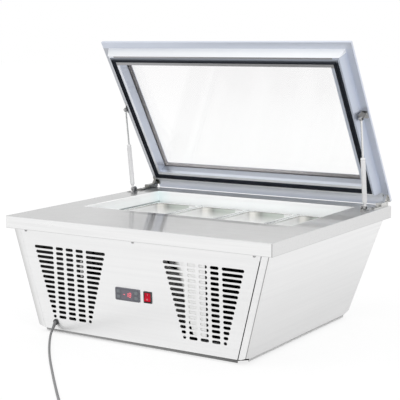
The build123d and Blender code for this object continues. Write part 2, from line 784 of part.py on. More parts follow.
with BuildPart() as hinge_arms:
    for side in (-1, 1):
        arm_plane = Plane(
            (side * leaf_x, hinge_y, hinge_z), x_dir=(0, cos(lid_angle), -sin(lid_angle)), z_dir=(1, 0, 0)
        )
        with BuildSketch(arm_plane.offset(-arm_width / 2)):
            Circle(4.6)
            Polygon((-4.6, 0), (4.6, 0), (11, lid_rise - 3), (-12, lid_rise - 3), align=None)
            Circle(pin_radius + running_gap, mode=Mode.SUBTRACT)
        extrude(amount=arm_width)
        with BuildSketch(arm_plane.offset(-leaf_width / 2 + 0.5)):
            with Locations((-1, lid_rise - 1.5)):
                Rectangle(26, 3)
        extrude(amount=leaf_width - 1)
pieces["hinge_arms"] = hinge_arms

# Gas struts: brackets, cylinders and rods, drawn out with the lid open
low_at = Vector(0, front + strut_low_depth, worktop_top + strut_low_rise)
high_local = Vector(0, strut_high_depth - hinge_depth, strut_high_rise - hinge_rise)
high_at = lid_frame.from_local_coords(high_local)
strut_along = (high_at - low_at).normalized()
strut_length = (high_at - low_at).length
low_plate_x, high_plate_x, plate = 388.5, 392.0, 2.0
eye_radius, eye_width, neck_radius = 7.0, 7.0, 3.2
with BuildPart() as low_brackets:
    for side in (-1, 1):
        out = Vector(side, 0, 0)
        with BuildSketch(Plane.XY.offset(worktop_top)):
            with Locations((side * (low_plate_x + 11), low_at.Y)):
                Rectangle(22, 26)
        extrude(amount=2)
        with BuildSketch(Plane(low_at + out * low_plate_x, x_dir=(0, side, 0), z_dir=out)):
            Circle(8)
            with Locations((0, -strut_low_rise / 2)):
                Rectangle(20, strut_low_rise)
        extrude(amount=plate + 0.5)
        with BuildSketch(Plane(low_at + out * low_plate_x, z_dir=out)):
            Circle(rod_radius)
        extrude(amount=15)
pieces["lower_strut_brackets"] = low_brackets

high_rise = lid_rise - high_local.Z
high_foot = lid_frame.from_local_coords(Vector(0, high_local.Y, lid_rise))
with BuildPart() as high_brackets:
    for side in (-1, 1):
        out = Vector(side, 0, 0)
        along = Vector(0, cos(lid_angle), -sin(lid_angle)) * side
        with BuildSketch(Plane(high_at + out * high_plate_x, x_dir=along, z_dir=out)):
            Circle(5)
            with Locations((0, high_rise / 2)):
                Rectangle(24, high_rise)
        extrude(amount=plate)
        with BuildSketch(Plane(high_foot, x_dir=(1, 0, 0), z_dir=lid_up)):
            with Locations((side * (high_plate_x + 9), 0)):
                Rectangle(18, 24)
        extrude(amount=-2)
pieces["upper_strut_brackets"] = high_brackets

for side, word in ((-1, "left"), (1, "right")):
    out = Vector(side, 0, 0)
    low_ball, high_ball = low_at + out * strut_x, high_at + out * strut_x

    with BuildPart() as cylinder:
        with Locations(Plane(low_ball, z_dir=out)):
            Cylinder(eye_radius, eye_width)
        with BuildSketch(Plane(low_ball, x_dir=(1, 0, 0), z_dir=strut_along)):
            Circle(neck_radius)
        extrude(amount=18)
        with BuildSketch(Plane(low_ball + strut_along * 14, x_dir=(1, 0, 0), z_dir=strut_along)):
            Circle(cylinder_radius)
        extrude(amount=cylinder_length - 14)
        chamfer(cylinder.edges().filter_by(GeomType.CIRCLE).sort_by(Axis.Z)[-1], 1)
        with Locations(Plane(low_ball, z_dir=out)):
            Cylinder(rod_radius + running_gap, eye_width, mode=Mode.SUBTRACT)
        top = low_ball + strut_along * cylinder_length
        with BuildSketch(Plane(top, x_dir=(1, 0, 0), z_dir=strut_along)):
            Circle(rod_radius + running_gap)
        extrude(amount=-114, mode=Mode.SUBTRACT)
    pieces[f"{word}_strut_cylinder"] = cylinder

    with BuildPart() as rod:
        with Locations(Plane(high_ball, z_dir=out)):
            Cylinder(eye_radius, eye_width)
        with BuildSketch(Plane(high_ball, x_dir=(1, 0, 0), z_dir=-strut_along)):
            Circle(neck_radius)
        extrude(amount=15)
        with BuildSketch(Plane(high_ball, x_dir=(1, 0, 0), z_dir=-strut_along)):
            Circle(rod_radius)
        extrude(amount=strut_length - cylinder_length + 26)
    pieces[f"{word}_strut_rod"] = rod

# Screws of the front panel, the hinge leaves and the lower strut brackets
with BuildPart() as screws:
    with BuildSketch(panel_frame):
        with Locations(*screw_places):
            Circle(4)
    extrude(amount=2.2)
    fillet(screws.edges().group_by(Axis.Y)[0], 1)
    with BuildSketch(panel_frame.offset(-8)):
        with Locations(*screw_places):
            Circle(2.1)
    extrude(amount=8)
    with BuildSketch(panel_frame.offset(2.2)):
        with Locations(*screw_places):
            Rectangle(4, 0.9)
            Rectangle(0.9, 4)
    extrude(amount=-1, mode=Mode.SUBTRACT)
    leaf_screws = [(side * leaf_x, front + depth) for side in (-1, 1) for depth in (611, 632)]
    bracket_screws = [(side * 404, low_at.Y + step) for side in (-1, 1) for step in (-9, 9)]
    for places, height, radius, head in ((leaf_screws, leaf_height, 5, 2), (bracket_screws, 2, 3, 1.2)):
        with BuildSketch(Plane.XY.offset(worktop_top + height)):
            with Locations(*places):
                Circle(radius)
        extrude(amount=head)
pieces["screws"] = screws

# Cable gland and the strain relief, which points down towards the floor
gland_at = panel_frame.from_local_coords(Vector(gland_x, on_panel(gland_z), 0))
sleeve_angle = radians(sleeve_drop)
sleeve_out = Vector(0, -cos(sleeve_angle), -sin(sleeve_angle))
sleeve_root = gland_at + panel_out * gland_flange
sleeve_tip = sleeve_root + sleeve_out * sleeve_length
with BuildPart() as gland:
    with BuildSketch(Plane(gland_at, x_dir=(1, 0, 0), z_dir=panel_out)):
        Circle(8.5)
    extrude(amount=gland_flange)
    fillet(gland.edges().group_by(Axis.Y)[0], 1.2)
    with BuildSketch(Plane(gland_at, x_dir=(1, 0, 0), z_dir=panel_out)):
        Circle(7)
    extrude(amount=-14)
    with BuildSketch(Plane(gland_at - panel_out * (sheet + 0.3), x_dir=(1, 0, 0), z_dir=panel_out)):
        Circle(10)
    extrude(amount=-5)
pieces["cable_gland"] = gland

with BuildPart() as sleeve:
    with BuildSketch(Plane(sleeve_root - sleeve_out * 8, x_dir=(1, 0, 0), z_dir=sleeve_out)):
        Circle(4.9)
    with BuildSketch(Plane(sleeve_tip, x_dir=(1, 0, 0), z_dir=sleeve_out)):
        Circle(3.7)
    loft()
    split(bisect_by=Plane(sleeve_root, x_dir=(1, 0, 0), z_dir=panel_out), keep=Keep.TOP)
pieces["strain_relief"] = sleeve

# Mains cord: a route over the floor, by x, depth and height of each point
tip_depth = sleeve_tip.Y - front
cord_route = [
    (gland_x, tip_depth, sleeve_tip.Z),
    (gland_x, tip_depth - 5.8 * cos(sleeve_angle), sleeve_tip.Z - 5.8 * sin(sleeve_angle)),
    (-270.6, 4.0, 8.3),
    (-267.7, -2.0, 5.0),
    (-263.0, -9.0, 3.3),
    (-254.5, -20.0, 3.25),
    (-238.5, -40.5, 3.25),
    (-210.0, -76.0, 3.25),
    (-164.0, -131.0, 3.25),
    (-107.0, -195.0, 3.25),
    (-47.0, -259.0, 3.25),
    (13.5, -323.0, 3.25),
    (74.5, -386.5, 3.25),
    (116.5, -429.5, 3.4),
    (188.9, -500.9, cord / 2 + coil_lift),
    (210.4, -521.9, cord / 2 + coil_lift),
]
cord_points = [Vector(x, front + depth, z) for x, depth, z in cord_route]


def corner_radii(points):
    radii = []
    for before, at, after in zip(points, points[1:], points[2:]):
        shorter = min((at - before).length, (after - at).length)
        turn = radians((at - before).get_angle(after - at))
        radii.append(0.45 * shorter / tan(turn / 2))
    return radii


cord_radii = corner_radii(cord_points)
with BuildPart() as mains_cord:
    with BuildLine() as cord_line:
        FilletPolyline(*cord_points, radius=cord_radii)
    with BuildSketch(Plane(cord_line.line @ 0, z_dir=cord_line.line % 0)):
        Circle(cord / 2)
    sweep(path=cord_line.line)
pieces["mains_cord"] = mains_cord

# Coil of the spare length: spirals in on the lower layer, climbs, and spirals out on the upper one
coil_start = cord_points[-1]
arrival = (cord_points[-1] - cord_points[-2]).normalized()
arrival = Vector(arrival.X, arrival.Y, 0).normalized()
coil_half = coil_turn / 2
coil_outer = coil_inner + coil_pitch * coil_half / 360
coil_entry = coil_start + arrival * cord
coil_centre = coil_entry + Vector(-arrival.Y, arrival.X, 0) * coil_outer
entry_angle = degrees(atan2(coil_entry.Y - coil_centre.Y, coil_entry.X - coil_centre.X))


def coil_point(turn):
    radius = coil_inner + coil_pitch * abs(turn - coil_half) / 360
    climb = min(max((turn - coil_half + 90) / 180, 0), 1)
    angle = radians(entry_angle + turn)
    height = coil_entry.Z + coil_layer * (1 - cos(pi * climb)) / 2
    return Vector(coil_centre.X + radius * cos(angle), coil_centre.Y + radius * sin(angle), height)


def coil_heading(turn):
    return (coil_point(turn + 0.5) - coil_point(turn - 0.5)).normalized()


def biarc(start, start_way, end, end_way):
    span, ways = end - start, start_way + end_way
    spread = 2 * (1 - start_way.dot(end_way))
    along = span.dot(ways)
    reach = (-along + (along**2 + spread * span.dot(span)) ** 0.5) / spread
    near, far = start + start_way * reach, end - end_way * reach
    middle = (near + far) * 0.5
    TangentArc(start, middle, tangent=start_way)
    TangentArc(middle, end, tangent=far - near)


coil_steps = ceil(coil_turn / 90)
stations = [coil_turn * step / coil_steps for step in range(coil_steps + 1)]
plug_axis = 18.0
plug_run = 52.0
with BuildPart() as cord_coil:
    with BuildLine() as coil_line:
        Line(coil_start, coil_entry)
        at, way = coil_entry, arrival
        for turn in stations[1:]:
            heading = coil_heading(turn)
            if turn == coil_turn:
                heading = Vector(heading.X, heading.Y, 0).normalized()
            biarc(at, way, coil_point(turn), heading)
            at, way = coil_point(turn), heading
        rise_end = at + way * plug_run + Vector(0, 0, plug_axis - at.Z)
        middle = (at + rise_end) * 0.5
        TangentArc(at, middle, tangent=way)
        TangentArc(rise_end, middle, tangent=-way)
        coil_end = rise_end + way * cord
        Line(rise_end, coil_end)
    with BuildSketch(Plane(coil_start, z_dir=arrival)):
        Circle(cord / 2)
    sweep(path=coil_line.wires()[0])
pieces["cord_coil"] = cord_coil

# Plug lying beside the coil
plug_frame = Plane(coil_end, x_dir=(0, 0, 1), z_dir=way)
with BuildPart() as plug:
    with BuildSketch(plug_frame):
        Circle(5)
    with BuildSketch(plug_frame.offset(24)):
        Circle(12)
    loft()
    with BuildSketch(plug_frame.offset(24)):
        Circle(plug_axis)
    extrude(amount=22)
    fillet(plug.edges().filter_by(GeomType.CIRCLE).sort_by(lambda edge: edge.radius)[-2:], 3)
pieces["plug_body"] = plug

with BuildPart() as plug_pins:
    with BuildSketch(plug_frame.offset(46)):
        with Locations((0, 9.5), (0, -9.5)):
            Circle(2.4)
    extrude(amount=19)
    fillet(plug_pins.faces().sort_by(Axis(coil_end, way))[-2:].edges(), 1.5)
pieces["plug_pins"] = plug_pins

os.makedirs("parts", exist_ok=True)
for name, piece in pieces.items():
    piece.part.label = name
    export_step(piece.part, f"parts/{name}.step")

# Sizes of the wound and bent tubes
coil_wire = coil_line.wires()[0]
samples = 900
trail = [tuple(coil_wire @ (step / samples)) for step in range(samples + 1)]
skip = ceil(4 * cord / (coil_wire.length / samples))
gap = min(
    dist(trail[first], trail[second])
    for first in range(samples + 1)
    for second in range(first + skip, samples + 1)
)
cord_wire = cord_line.wires()[0]
cord_total = cord_wire.length + coil_wire.length
print("pieces", len(pieces), "front edge", round(front, 3))
print("cord radii", [round(radius, 1) for radius in cord_radii])
print("cord tube volume ratio", round(mains_cord.part.volume / (pi * cord**2 / 4 * cord_wire.length), 4))
print("coil tube volume ratio", round(cord_coil.part.volume / (pi * cord**2 / 4 * coil_wire.length), 4))
print("coil gap to itself", round(gap - cord, 2), "cord length", round(cord_total, 1))
print("strut length", round(strut_length, 2), "low ball", low_at, "high ball", high_at)
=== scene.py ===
import json
import math

import bpy
import bmesh
import numpy as np
from mathutils import Matrix, Vector


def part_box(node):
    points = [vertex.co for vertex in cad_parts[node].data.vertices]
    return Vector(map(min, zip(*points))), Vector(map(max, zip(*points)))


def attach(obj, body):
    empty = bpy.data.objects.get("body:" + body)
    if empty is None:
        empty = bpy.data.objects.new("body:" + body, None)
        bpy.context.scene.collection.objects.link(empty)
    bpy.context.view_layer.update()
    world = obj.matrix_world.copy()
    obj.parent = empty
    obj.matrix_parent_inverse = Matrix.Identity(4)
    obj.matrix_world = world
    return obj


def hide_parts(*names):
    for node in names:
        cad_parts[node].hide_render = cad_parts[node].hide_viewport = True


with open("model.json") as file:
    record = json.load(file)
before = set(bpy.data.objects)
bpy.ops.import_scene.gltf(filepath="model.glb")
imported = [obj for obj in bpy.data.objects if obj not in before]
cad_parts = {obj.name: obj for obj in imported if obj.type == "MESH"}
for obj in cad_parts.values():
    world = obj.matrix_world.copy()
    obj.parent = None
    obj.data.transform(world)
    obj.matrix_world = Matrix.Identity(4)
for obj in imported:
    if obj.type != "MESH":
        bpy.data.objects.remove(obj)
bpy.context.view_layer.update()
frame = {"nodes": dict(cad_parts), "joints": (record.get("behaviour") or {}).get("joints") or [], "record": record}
nodes = frame["nodes"]
joints = {joint["name"]: joint for joint in frame["joints"]}
mm = 0.001
print("frame loaded:", len(nodes), "nodes")


# Shader nodes

def operator(operation):
    return lambda value, other: value.maths(operation, value, other)


class Value:
    # a shader socket that can stand in a sum; each operator adds one Math node
    def __init__(self, bench, socket):
        self.bench, self.socket = bench, socket

    def maths(self, operation, first, second=0.0):
        return self.bench.add("ShaderNodeMath", {"operation": operation}, {0: first, 1: second})

    __add__ = __radd__ = operator("ADD")
    __mul__ = __rmul__ = operator("MULTIPLY")
    __sub__, __truediv__, __pow__ = operator("SUBTRACT"), operator("DIVIDE"), operator("POWER")
    __gt__, __lt__ = operator("GREATER_THAN"), operator("LESS_THAN")

    def __rsub__(self, other):
        return self.maths("SUBTRACT", other, self)

    def __abs__(self):
        return self.maths("ABSOLUTE", self)


class Bench:
    # a node tree to work on, with one method for every kind of node
    def __init__(self, tree):
        self.tree = tree

    def add(self, kind, settings=None, values=None, output=0):
        node = self.tree.nodes.new(kind)
        for key, setting in (settings or {}).items():
            if key == "stops":
                ramp = node.color_ramp.elements
                for number, (place, shade) in enumerate(setting):
                    stop = ramp[number] if number < 2 else ramp.new(place)
                    stop.position, stop.color = place, shade
            else:
                setattr(node, key, setting)
        for key, value in (values or {}).items():
            self.feed(node.inputs[key], value)
        return Value(self, node.outputs[output])

    def feed(self, socket, value):
        if isinstance(value, Value):
            self.tree.links.new(value.socket, socket)
        else:
            socket.default_value = value


class Finish(Bench):
    # a material: its Principled shader takes numbers, colours and links by socket name
    def __init__(self, name, **sockets):
        self.material = bpy.data.materials.new(name)
        self.material.use_nodes = True
        super().__init__(self.material.node_tree)
        self.shader = self.tree.nodes["Principled BSDF"]
        self.dress(**sockets)

    def dress(self, **sockets):
        for key, value in sockets.items():
            self.feed(self.shader.inputs[key.replace("_", " ")], value)
        return self

    def cover(self, share, shade):
        # lays a colour over the one that feeds the shader so far
        below = Value(self, self.shader.inputs["Base Color"].links[0].from_socket)
        return self.dress(Base_Color=self.blend(share, below, shade))

    def place(self):
        return self.add("ShaderNodeTexCoord", output="Object")

    def axes(self):
        # a point's place across, along and up
        split = self.add("ShaderNodeSeparateXYZ", values={0: self.place()})
        return [Value(self, output) for output in split.socket.node.outputs]

    def noise(self, stretch, detail, rough=0.55):
        # noise with so many features to a metre, as one number or as one for each axis
        scale = stretch if isinstance(stretch, tuple) else (stretch,) * 3
        mapped = self.add("ShaderNodeMapping", values={"Vector": self.place(), "Scale": scale})
        values = {"Vector": mapped, "Scale": 1.0, "Detail": detail, "Roughness": rough}
        return self.add("ShaderNodeTexNoise", values=values)

    def blend(self, share, first, second):
        return self.add("ShaderNodeMix", {"data_type": "RGBA"}, {0: share, 6: first, 7: second}, 2)

    def bump(self, height, depth, strength):
        values = {"Height": height, "Distance": depth, "Strength": strength}
        return self.add("ShaderNodeBump", values=values)

    def clamped(self, value):
        return self.add("ShaderNodeClamp", values={"Value": value})

    def ramp(self, value, start, run):
        # nought at the start, one after the run; a negative run counts backwards
        return self.clamped((value - start) / run)

    def brushed(self, grain, cloud, gloss, bump):
        # roughness by its level and how far the grain and the clouds move it; bumps by depth and strength
        level, byGrain, byCloud = gloss
        rough = level + (grain - 0.5) * byGrain + (cloud - 0.5) * byCloud
        return self.dress(Roughness=rough, Normal=self.bump(grain, *bump))


def grey(level):
    return (level, level, level, 1.0)


# Steel of the worktop: a polished deck with a satin lip

deckLook = {
    "deck": (0.78, 0.78, 0.775, 1), "deckLeftReflection": grey(0.58), "deckBackLight": grey(0.97), "lip": grey(0.80),
    "litLipFront": grey(0.89), "hemShade": grey(0.66), "worn": grey(0.64), "rim": grey(0.34),
    "seamTint": grey(0.40), "edgeShine": grey(0.72),
    "fromLeft": (-360 * mm, 720 * mm), "fromBack": (120 * mm, 100 * mm), "fromRight": (290 * mm, 60 * mm),
    "edgeDrop": 1.6 * mm, "edgeRun": 1.28 * mm, "lipSkin": 0.5 * mm, "hem": 1.3 * mm, "seam": 1.8 * mm,
    "rimRun": 40 * mm, "rimFade": 16 * mm, "rimOver": 2 * mm, "rimFrom": -200 * mm, "rimSide": 90 * mm,
    "grain": ((2, 170, 170), 5.0, 0.6), "smudge": (7, 4.0), "wearFrom": 0.42, "wear": 0.9,
    "deckGloss": 0.40, "lipGloss": 0.30, "glossBy": (0.16, 0.06), "bump": (0.01 * mm, 0.6),
    "film": 0.62, "filmSmudge": 0.5, "filmSlope": 0.3,
}


def deckSteel():
    look = deckLook
    finish = Finish("deckSteel", Metallic=1.0, Specular_Tint=look["edgeShine"], Coat_Roughness=0.03)
    (low, high), (mouthLow, mouthHigh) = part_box("worktop"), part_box("well_collar")
    across, along, height = finish.axes()
    grain, smudge = finish.noise(*look["grain"]), finish.noise(*look["smudge"])
    onDeck = finish.ramp(height, high.z - look["edgeDrop"], look["edgeRun"])
    # painted light: the lip's front face is tinted lighter than its sides
    lip = finish.blend(along < low.y + look["lipSkin"], look["lip"], look["litLipFront"])
    lip = finish.blend(height < low.z + look["hem"], lip, look["hemShade"])  # painted shade: a darker line along the lip's lower edge
    # painted reflection: the deck is tinted darker on the left and lighter to the right
    deck = finish.blend(finish.ramp(across, *look["fromLeft"]), look["deckLeftReflection"], look["deck"])
    # painted light: the deck is tinted lighter towards the back right
    backRightLight = finish.ramp(along, *look["fromBack"]) * finish.ramp(across, *look["fromRight"])
    deck = finish.blend(backRightLight, deck, look["deckBackLight"])
    finish.dress(Base_Color=finish.blend(onDeck, lip, deck))
    finish.cover(finish.clamped((grain - look["wearFrom"]) * look["wear"]), look["worn"])
    byFront = finish.ramp(along, mouthLow.y - look["rimRun"], look["rimFade"])
    byFront = byFront * (along < mouthLow.y + look["rimOver"])
    byMouth = finish.ramp(across, look["rimFrom"], look["rimSide"])
    byMouth = byMouth * finish.ramp(across, mouthHigh.x, -look["rimSide"])
    finish.cover(byFront * byMouth * onDeck, look["rim"])  # painted reflection: a dark streak on the deck before the mouth
    atCorner = (abs(across) > high.x - look["seam"]) * (along < low.y + look["seam"])
    finish.cover(atCorner * (1 - onDeck), look["seamTint"])
    gloss = look["lipGloss"] + onDeck * (look["deckGloss"] - look["lipGloss"])
    film = look["film"] + (smudge - 0.5) * look["filmSmudge"] - across * look["filmSlope"]
    finish.dress(Coat_Weight=onDeck * finish.clamped(film))
    return finish.brushed(grain, smudge, (gloss, *look["glossBy"]), look["bump"])


# Brushed steel of the side and front panels

panelLook = {
    "tint": grey(0.88), "shade": (0.82, 0.82, 0.825, 1), "foldShade": grey(0.38), "paintedShade": grey(0.56),
    "grain": ((2, 2, 150), 5.0, 0.6), "cloud": (5, 2.0),
    "shadeFrom": 0.4, "shadeGrain": 1.2, "shadeCloud": 0.2,
    "corner": (326.3 * mm, 0.2717), "front": (-330.7 * mm, -0.0417),  # place at the floor, and lean
    "skin": 1.2 * mm, "foldWide": 2.2 * mm, "postShadeWide": 22.0 * mm, "postShadeBend": 1.6, "postShadeShare": 0.8,
    "sideShadeHigh": 260 * mm, "sideShadeShare": 0.55, "gloss": (0.33, 0.2, 0.05), "bump": (0.006 * mm, 0.4),
}


def panelSteel():
    look = panelLook
    finish = Finish("panelSteel", Metallic=1.0)
    grain, cloud = finish.noise(*look["grain"]), finish.noise(*look["cloud"])
    shade = (grain - look["shadeFrom"]) * look["shadeGrain"] + cloud * look["shadeCloud"]
    finish.dress(Base_Color=finish.blend(finish.clamped(shade), look["tint"], look["shade"]))
    across, along, height = finish.axes()
    corner, front = (start + height * lean for start, lean in (look["corner"], look["front"]))
    onPost = along < front + look["skin"]
    edge = finish.ramp(across, look["postShadeWide"] - corner, -look["postShadeWide"])
    paintedShade = edge ** look["postShadeBend"] * look["postShadeShare"]  # painted shade: the left post darkens towards its outer edge
    finish.cover(paintedShade * onPost, look["paintedShade"])
    # painted shade: the side panels darken towards the floor
    onSide = (across > corner - look["skin"]) * (1 - onPost)
    lowDown = finish.ramp(height, look["sideShadeHigh"], -look["sideShadeHigh"])
    finish.cover(onSide * lowDown * look["sideShadeShare"], look["paintedShade"])
    atFold = (across > corner - look["foldWide"]) * onPost  # painted shade: a dark line along the bend at the right post
    finish.cover(atFold, look["foldShade"])
    return finish.brushed(grain, cloud, look["gloss"], look["bump"])


# Zinc-coated sheet of the rear panel and of pieces inside

zincLook = {"pale": (0.50, 0.51, 0.52, 1), "dark": (0.34, 0.35, 0.36, 1), "spangle": 90.0, "contrast": 0.8,
            "fine": (400, 2.0), "gloss": 0.30, "toneGloss": 0.16, "bump": (0.01 * mm, 0.3)}


def zincSheet():
    look = zincLook
    finish = Finish("zincSheet", Metallic=1.0)
    values = {"Vector": finish.place(), "Scale": look["spangle"]}
    cells = finish.add("ShaderNodeTexVoronoi", values=values, output=1)
    tone = finish.add("ShaderNodeSeparateColor", values={0: cells})
    tint = finish.blend(tone * look["contrast"], look["pale"], look["dark"])
    return finish.dress(Base_Color=tint, Roughness=look["gloss"] + tone * look["toneGloss"],
                        Normal=finish.bump(finish.noise(*look["fine"]), *look["bump"]))


# Plain steels, brass and copper, by tint, gloss and grain

metalLooks = {
    "pan": {"tint": (0.96, 0.965, 0.96, 1), "worn": (0.62, 0.63, 0.62, 1), "gloss": 0.15,
        "grain": (60, 60, 4), "metal": 0.90},
    # the tank's steel is tinted near black: painted shade where it shows between the pans
    "tank": {"tint": (0.10, 0.12, 0.12, 1), "worn": (0.07, 0.08, 0.08, 1), "gloss": 0.30,
        "grain": (40, 40, 700)},
    "bright": {"tint": grey(0.52), "worn": (0.20, 0.20, 0.205, 1), "gloss": 0.14, "grain": 500},
    "rod": {"tint": grey(0.86), "worn": (0.72, 0.72, 0.73, 1), "gloss": 0.16, "grain": 500},
    "hinge": {"tint": (0.27, 0.27, 0.255, 1), "worn": (0.15, 0.15, 0.14, 1), "gloss": 0.24, "grain": 300},
    "copper": {"tint": (0.42, 0.24, 0.16, 1), "worn": (0.22, 0.12, 0.08, 1), "gloss": 0.30, "grain": 90},
    "brass": {"tint": (0.80, 0.66, 0.36, 1), "worn": (0.62, 0.48, 0.24, 1), "gloss": 0.20, "grain": 300},
}
metalWear = {"detail": 4.0, "cloud": (35, 3.0), "byGrain": 0.5, "byCloud": 0.6, "less": 0.25,
             "glossBy": (0.10, 0.08), "depth": 0.006, "bump": 0.4, "metal": 1.0}


def mottled(finish, look):
    # colour and gloss that vary with a grain and with clouds
    grain, cloud = finish.noise(look["grain"], look["detail"]), finish.noise(*look["cloud"])
    share = finish.clamped(grain * look["byGrain"] + cloud * look["byCloud"] - look["less"])
    finish.dress(Base_Color=finish.blend(share, look["tint"], look["worn"]))
    return finish.brushed(grain, cloud, (look["gloss"], *look["glossBy"]), (look["depth"] * mm, look["bump"]))


def plainMetal(word):
    look = {**metalWear, **metalLooks[word]}
    return mottled(Finish(word + "Metal", Metallic=look["metal"]), look)


hingeLook = {"litTint": (0.80, 0.80, 0.79, 1), "litShare": 0.7}


def hingeSteel():
    # painted light: the right-hand hinge is tinted brighter
    look, finish = hingeLook, plainMetal("hinge")
    onRight = (finish.axes()[0] > 0) * look["litShare"]
    return finish.cover(onRight, look["litTint"])


panLook = {
    "satin": 0.72, "bare": 0.6, "satinDrop": 1 * mm, "satinRun": 5 * mm, "bareBelow": 45 * mm,
    "rimEdge": 2.6 * mm, "pitch": 167.4 * mm, "rim": 10 * mm, "wallTop": 2.2 * mm, "wallDeep": 34 * mm,
    "wallFade": 21.25 * mm, "wallWide": 110 * mm, "bandRun": 300 * mm,
    "reflectionBands": ((0.0, grey(0.82)), (0.36, grey(0.80)), (0.41, grey(0.70)), (0.435, grey(0.58)),
              (0.47, (0.79, 0.775, 0.74, 1)), (0.53, (0.80, 0.785, 0.75, 1)), (0.57, (0.52, 0.52, 0.49, 1)),
              (0.605, (0.33, 0.34, 0.32, 1)), (0.64, (0.43, 0.46, 0.43, 1)), (0.70, (0.50, 0.54, 0.50, 1)),
              (0.85, (0.58, 0.62, 0.58, 1))),
}


def panSteel():
    # polished rims, satin walls with painted reflection bands round the rear left corner, and a barer floor
    look, base, finish = panLook, metalLooks["pan"], plainMetal("pan")
    across, along, height = finish.axes()
    low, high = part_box("pan_1")
    satinTop = high.z - look["satinDrop"]
    under = finish.ramp(height, satinTop, -look["satinRun"])
    floor = finish.ramp(height, satinTop - look["bareBelow"], -look["bareBelow"])
    satin = under * look["satin"] * (1 - floor * look["bare"])
    toEdge = across.maths("PINGPONG", across, look["pitch"] / 2)  # from the nearest line between two rims
    # painted shade: the rims' edges by the lines between the pans take the darker worn tint, so the gaps read dark
    finish.cover((toEdge < look["rimEdge"]) * (1 - under), base["worn"])
    # painted reflections: light and dark bands, with a pale highlight, round the rear left corner of the upper
    # walls
    fromLeft = across.maths("MODULO", across - low.x, look["pitch"]) - look["rim"]
    aroundCorner = fromLeft - (high.y - look["rim"] - along)  # below nought on the left wall
    share = aroundCorner / look["bandRun"] + 0.5
    reflectionBands = finish.add("ShaderNodeValToRGB", {"stops": look["reflectionBands"]}, {0: share})
    fade = finish.ramp(height, high.z - look["wallDeep"], look["wallFade"])
    onWall = (height < high.z - look["wallTop"]) * fade * (fromLeft < look["wallWide"])
    return finish.dress(Metallic=base["metal"] - satin).cover(onWall, reflectionBands)


# Anodised aluminium of the lid

lidOpen = math.radians(59.0)  # how far the lid is open at rest
lidLook = {
    "flange": (0.70, 0.745, 0.85, 1), "leftFlangeShade": (0.52, 0.535, 0.57, 1),
    "frontFlange": (0.71, 0.75, 0.84, 1), "backFlangeShading": (0.58, 0.62, 0.71, 1),
    "backLight": (0.92, 0.95, 1.0, 1), "lightFrom": (-18 * mm, 16 * mm),
    "face": (0.90, 0.92, 0.97, 1), "rightFaceShade": (0.66, 0.71, 0.81, 1), "rightFrom": 300 * mm,
    "leftStripShade": (0.57, 0.58, 0.60, 1), "strip": 14 * mm, "wall": (0.97, 0.985, 1.0, 1),
    "inner": (0.41, 0.40, 0.40, 1), "innerShare": 0.75,
    "foot": (0.44, 0.47, 0.53, 1), "footLight": (0.73, 0.77, 0.84, 1), "footFrom": (-9.5 * mm, 6 * mm),
    "boxBack": 18 * mm, "boxFront": 499.6 * mm, "boxHalf": 391.7 * mm, "bevel": 10 * mm, "sight": 40.3 * mm,
    "lap": 0.5 * mm, "skin": 0.3 * mm, "mitre": 0.01 * mm, "sightLap": 2 * mm,
    "shade": (0.60, 0.635, 0.72, 1), "shadeGrain": 0.12, "shadeCloud": 0.16,
    "grain": ((20, 900, 900), 3.0), "cloud": (9, 3.0),
    "gloss": (0.38, 0.10, 0.08), "bump": (0.005 * mm, 0.4),
}


def lidPlace(finish):
    # distance from the hinge axis along the lid, and out of its inner side
    hinge = joints["lid_hinge"]["pos_m"]
    along, height = finish.axes()[1:]
    along, height = hinge[1] - along, height - hinge[2]
    return (along * math.cos(lidOpen) + height * math.sin(lidOpen),
            along * math.sin(lidOpen) - height * math.cos(lidOpen))


def lidAluminium():
    look = lidLook
    finish = Finish("lidAluminium", Metallic=0.72)
    grain, cloud = finish.noise(*look["grain"]), finish.noise(*look["cloud"])
    across, (out, proud) = finish.axes()[0], lidPlace(finish)
    fromBack, fromFront = out - look["boxBack"], look["boxFront"] - out
    inset = out.maths("MINIMUM", fromBack, look["boxHalf"] - abs(across))
    atBack = (inset - look["mitre"] < fromBack) * (fromBack < inset + look["mitre"])
    # painted shade and light on the face: darker on the right-hand rail and on a strip along the left rail, near
    # white on the back rail
    face = finish.blend(across > look["rightFrom"], look["face"], look["rightFaceShade"])
    atStrip = across < look["strip"] - look["boxHalf"]  # outside the gasket
    face = finish.blend(atStrip, face, look["leftStripShade"])
    face = finish.blend(atBack, face, look["wall"])
    # painted shade and light on the flanges: the back flange grades from darker to lighter along the lid, and the
    # left flange is darker
    backFlangeShading = finish.blend(finish.ramp(out, *look["lightFrom"]), look["backFlangeShading"], look["backLight"])
    flange = finish.blend(across < -look["boxHalf"], look["flange"], look["leftFlangeShade"])
    flange = finish.blend(atBack, flange, backFlangeShading)
    onFace = (inset > look["skin"]) * (inset < look["sight"])
    finish.dress(Base_Color=finish.blend(onFace, flange, face))
    foot = finish.blend(finish.ramp(proud, *look["footFrom"]), look["foot"], look["footLight"])
    atFoot = (inset > look["sight"]) * (fromBack < look["sight"] + look["sightLap"])
    finish.cover(atFoot, foot)  # painted shade and light: the box's inner wall by the hinges, darker near the pane and lighter towards its edge
    atInner = (fromFront < look["sight"] + look["sightLap"]) * (inset > look["sight"] * look["innerShare"])
    finish.cover(atInner, look["inner"])  # painted shade: the same wall by the front edge, tinted darker
    atWall = (fromFront < look["bevel"] + look["lap"]) * (inset > look["skin"])
    finish.cover(atWall, look["wall"])  # painted light: the box's outer wall by the front edge, tinted near white
    finish.cover(fromFront < -look["lap"], look["frontFlange"])
    finish.cover(grain * look["shadeGrain"] + cloud * look["shadeCloud"], look["shade"])
    return finish.brushed(grain, cloud, look["gloss"], look["bump"])


# Paints, plastics and rubbers, by tint, gloss and surface texture, its depth in millimetres

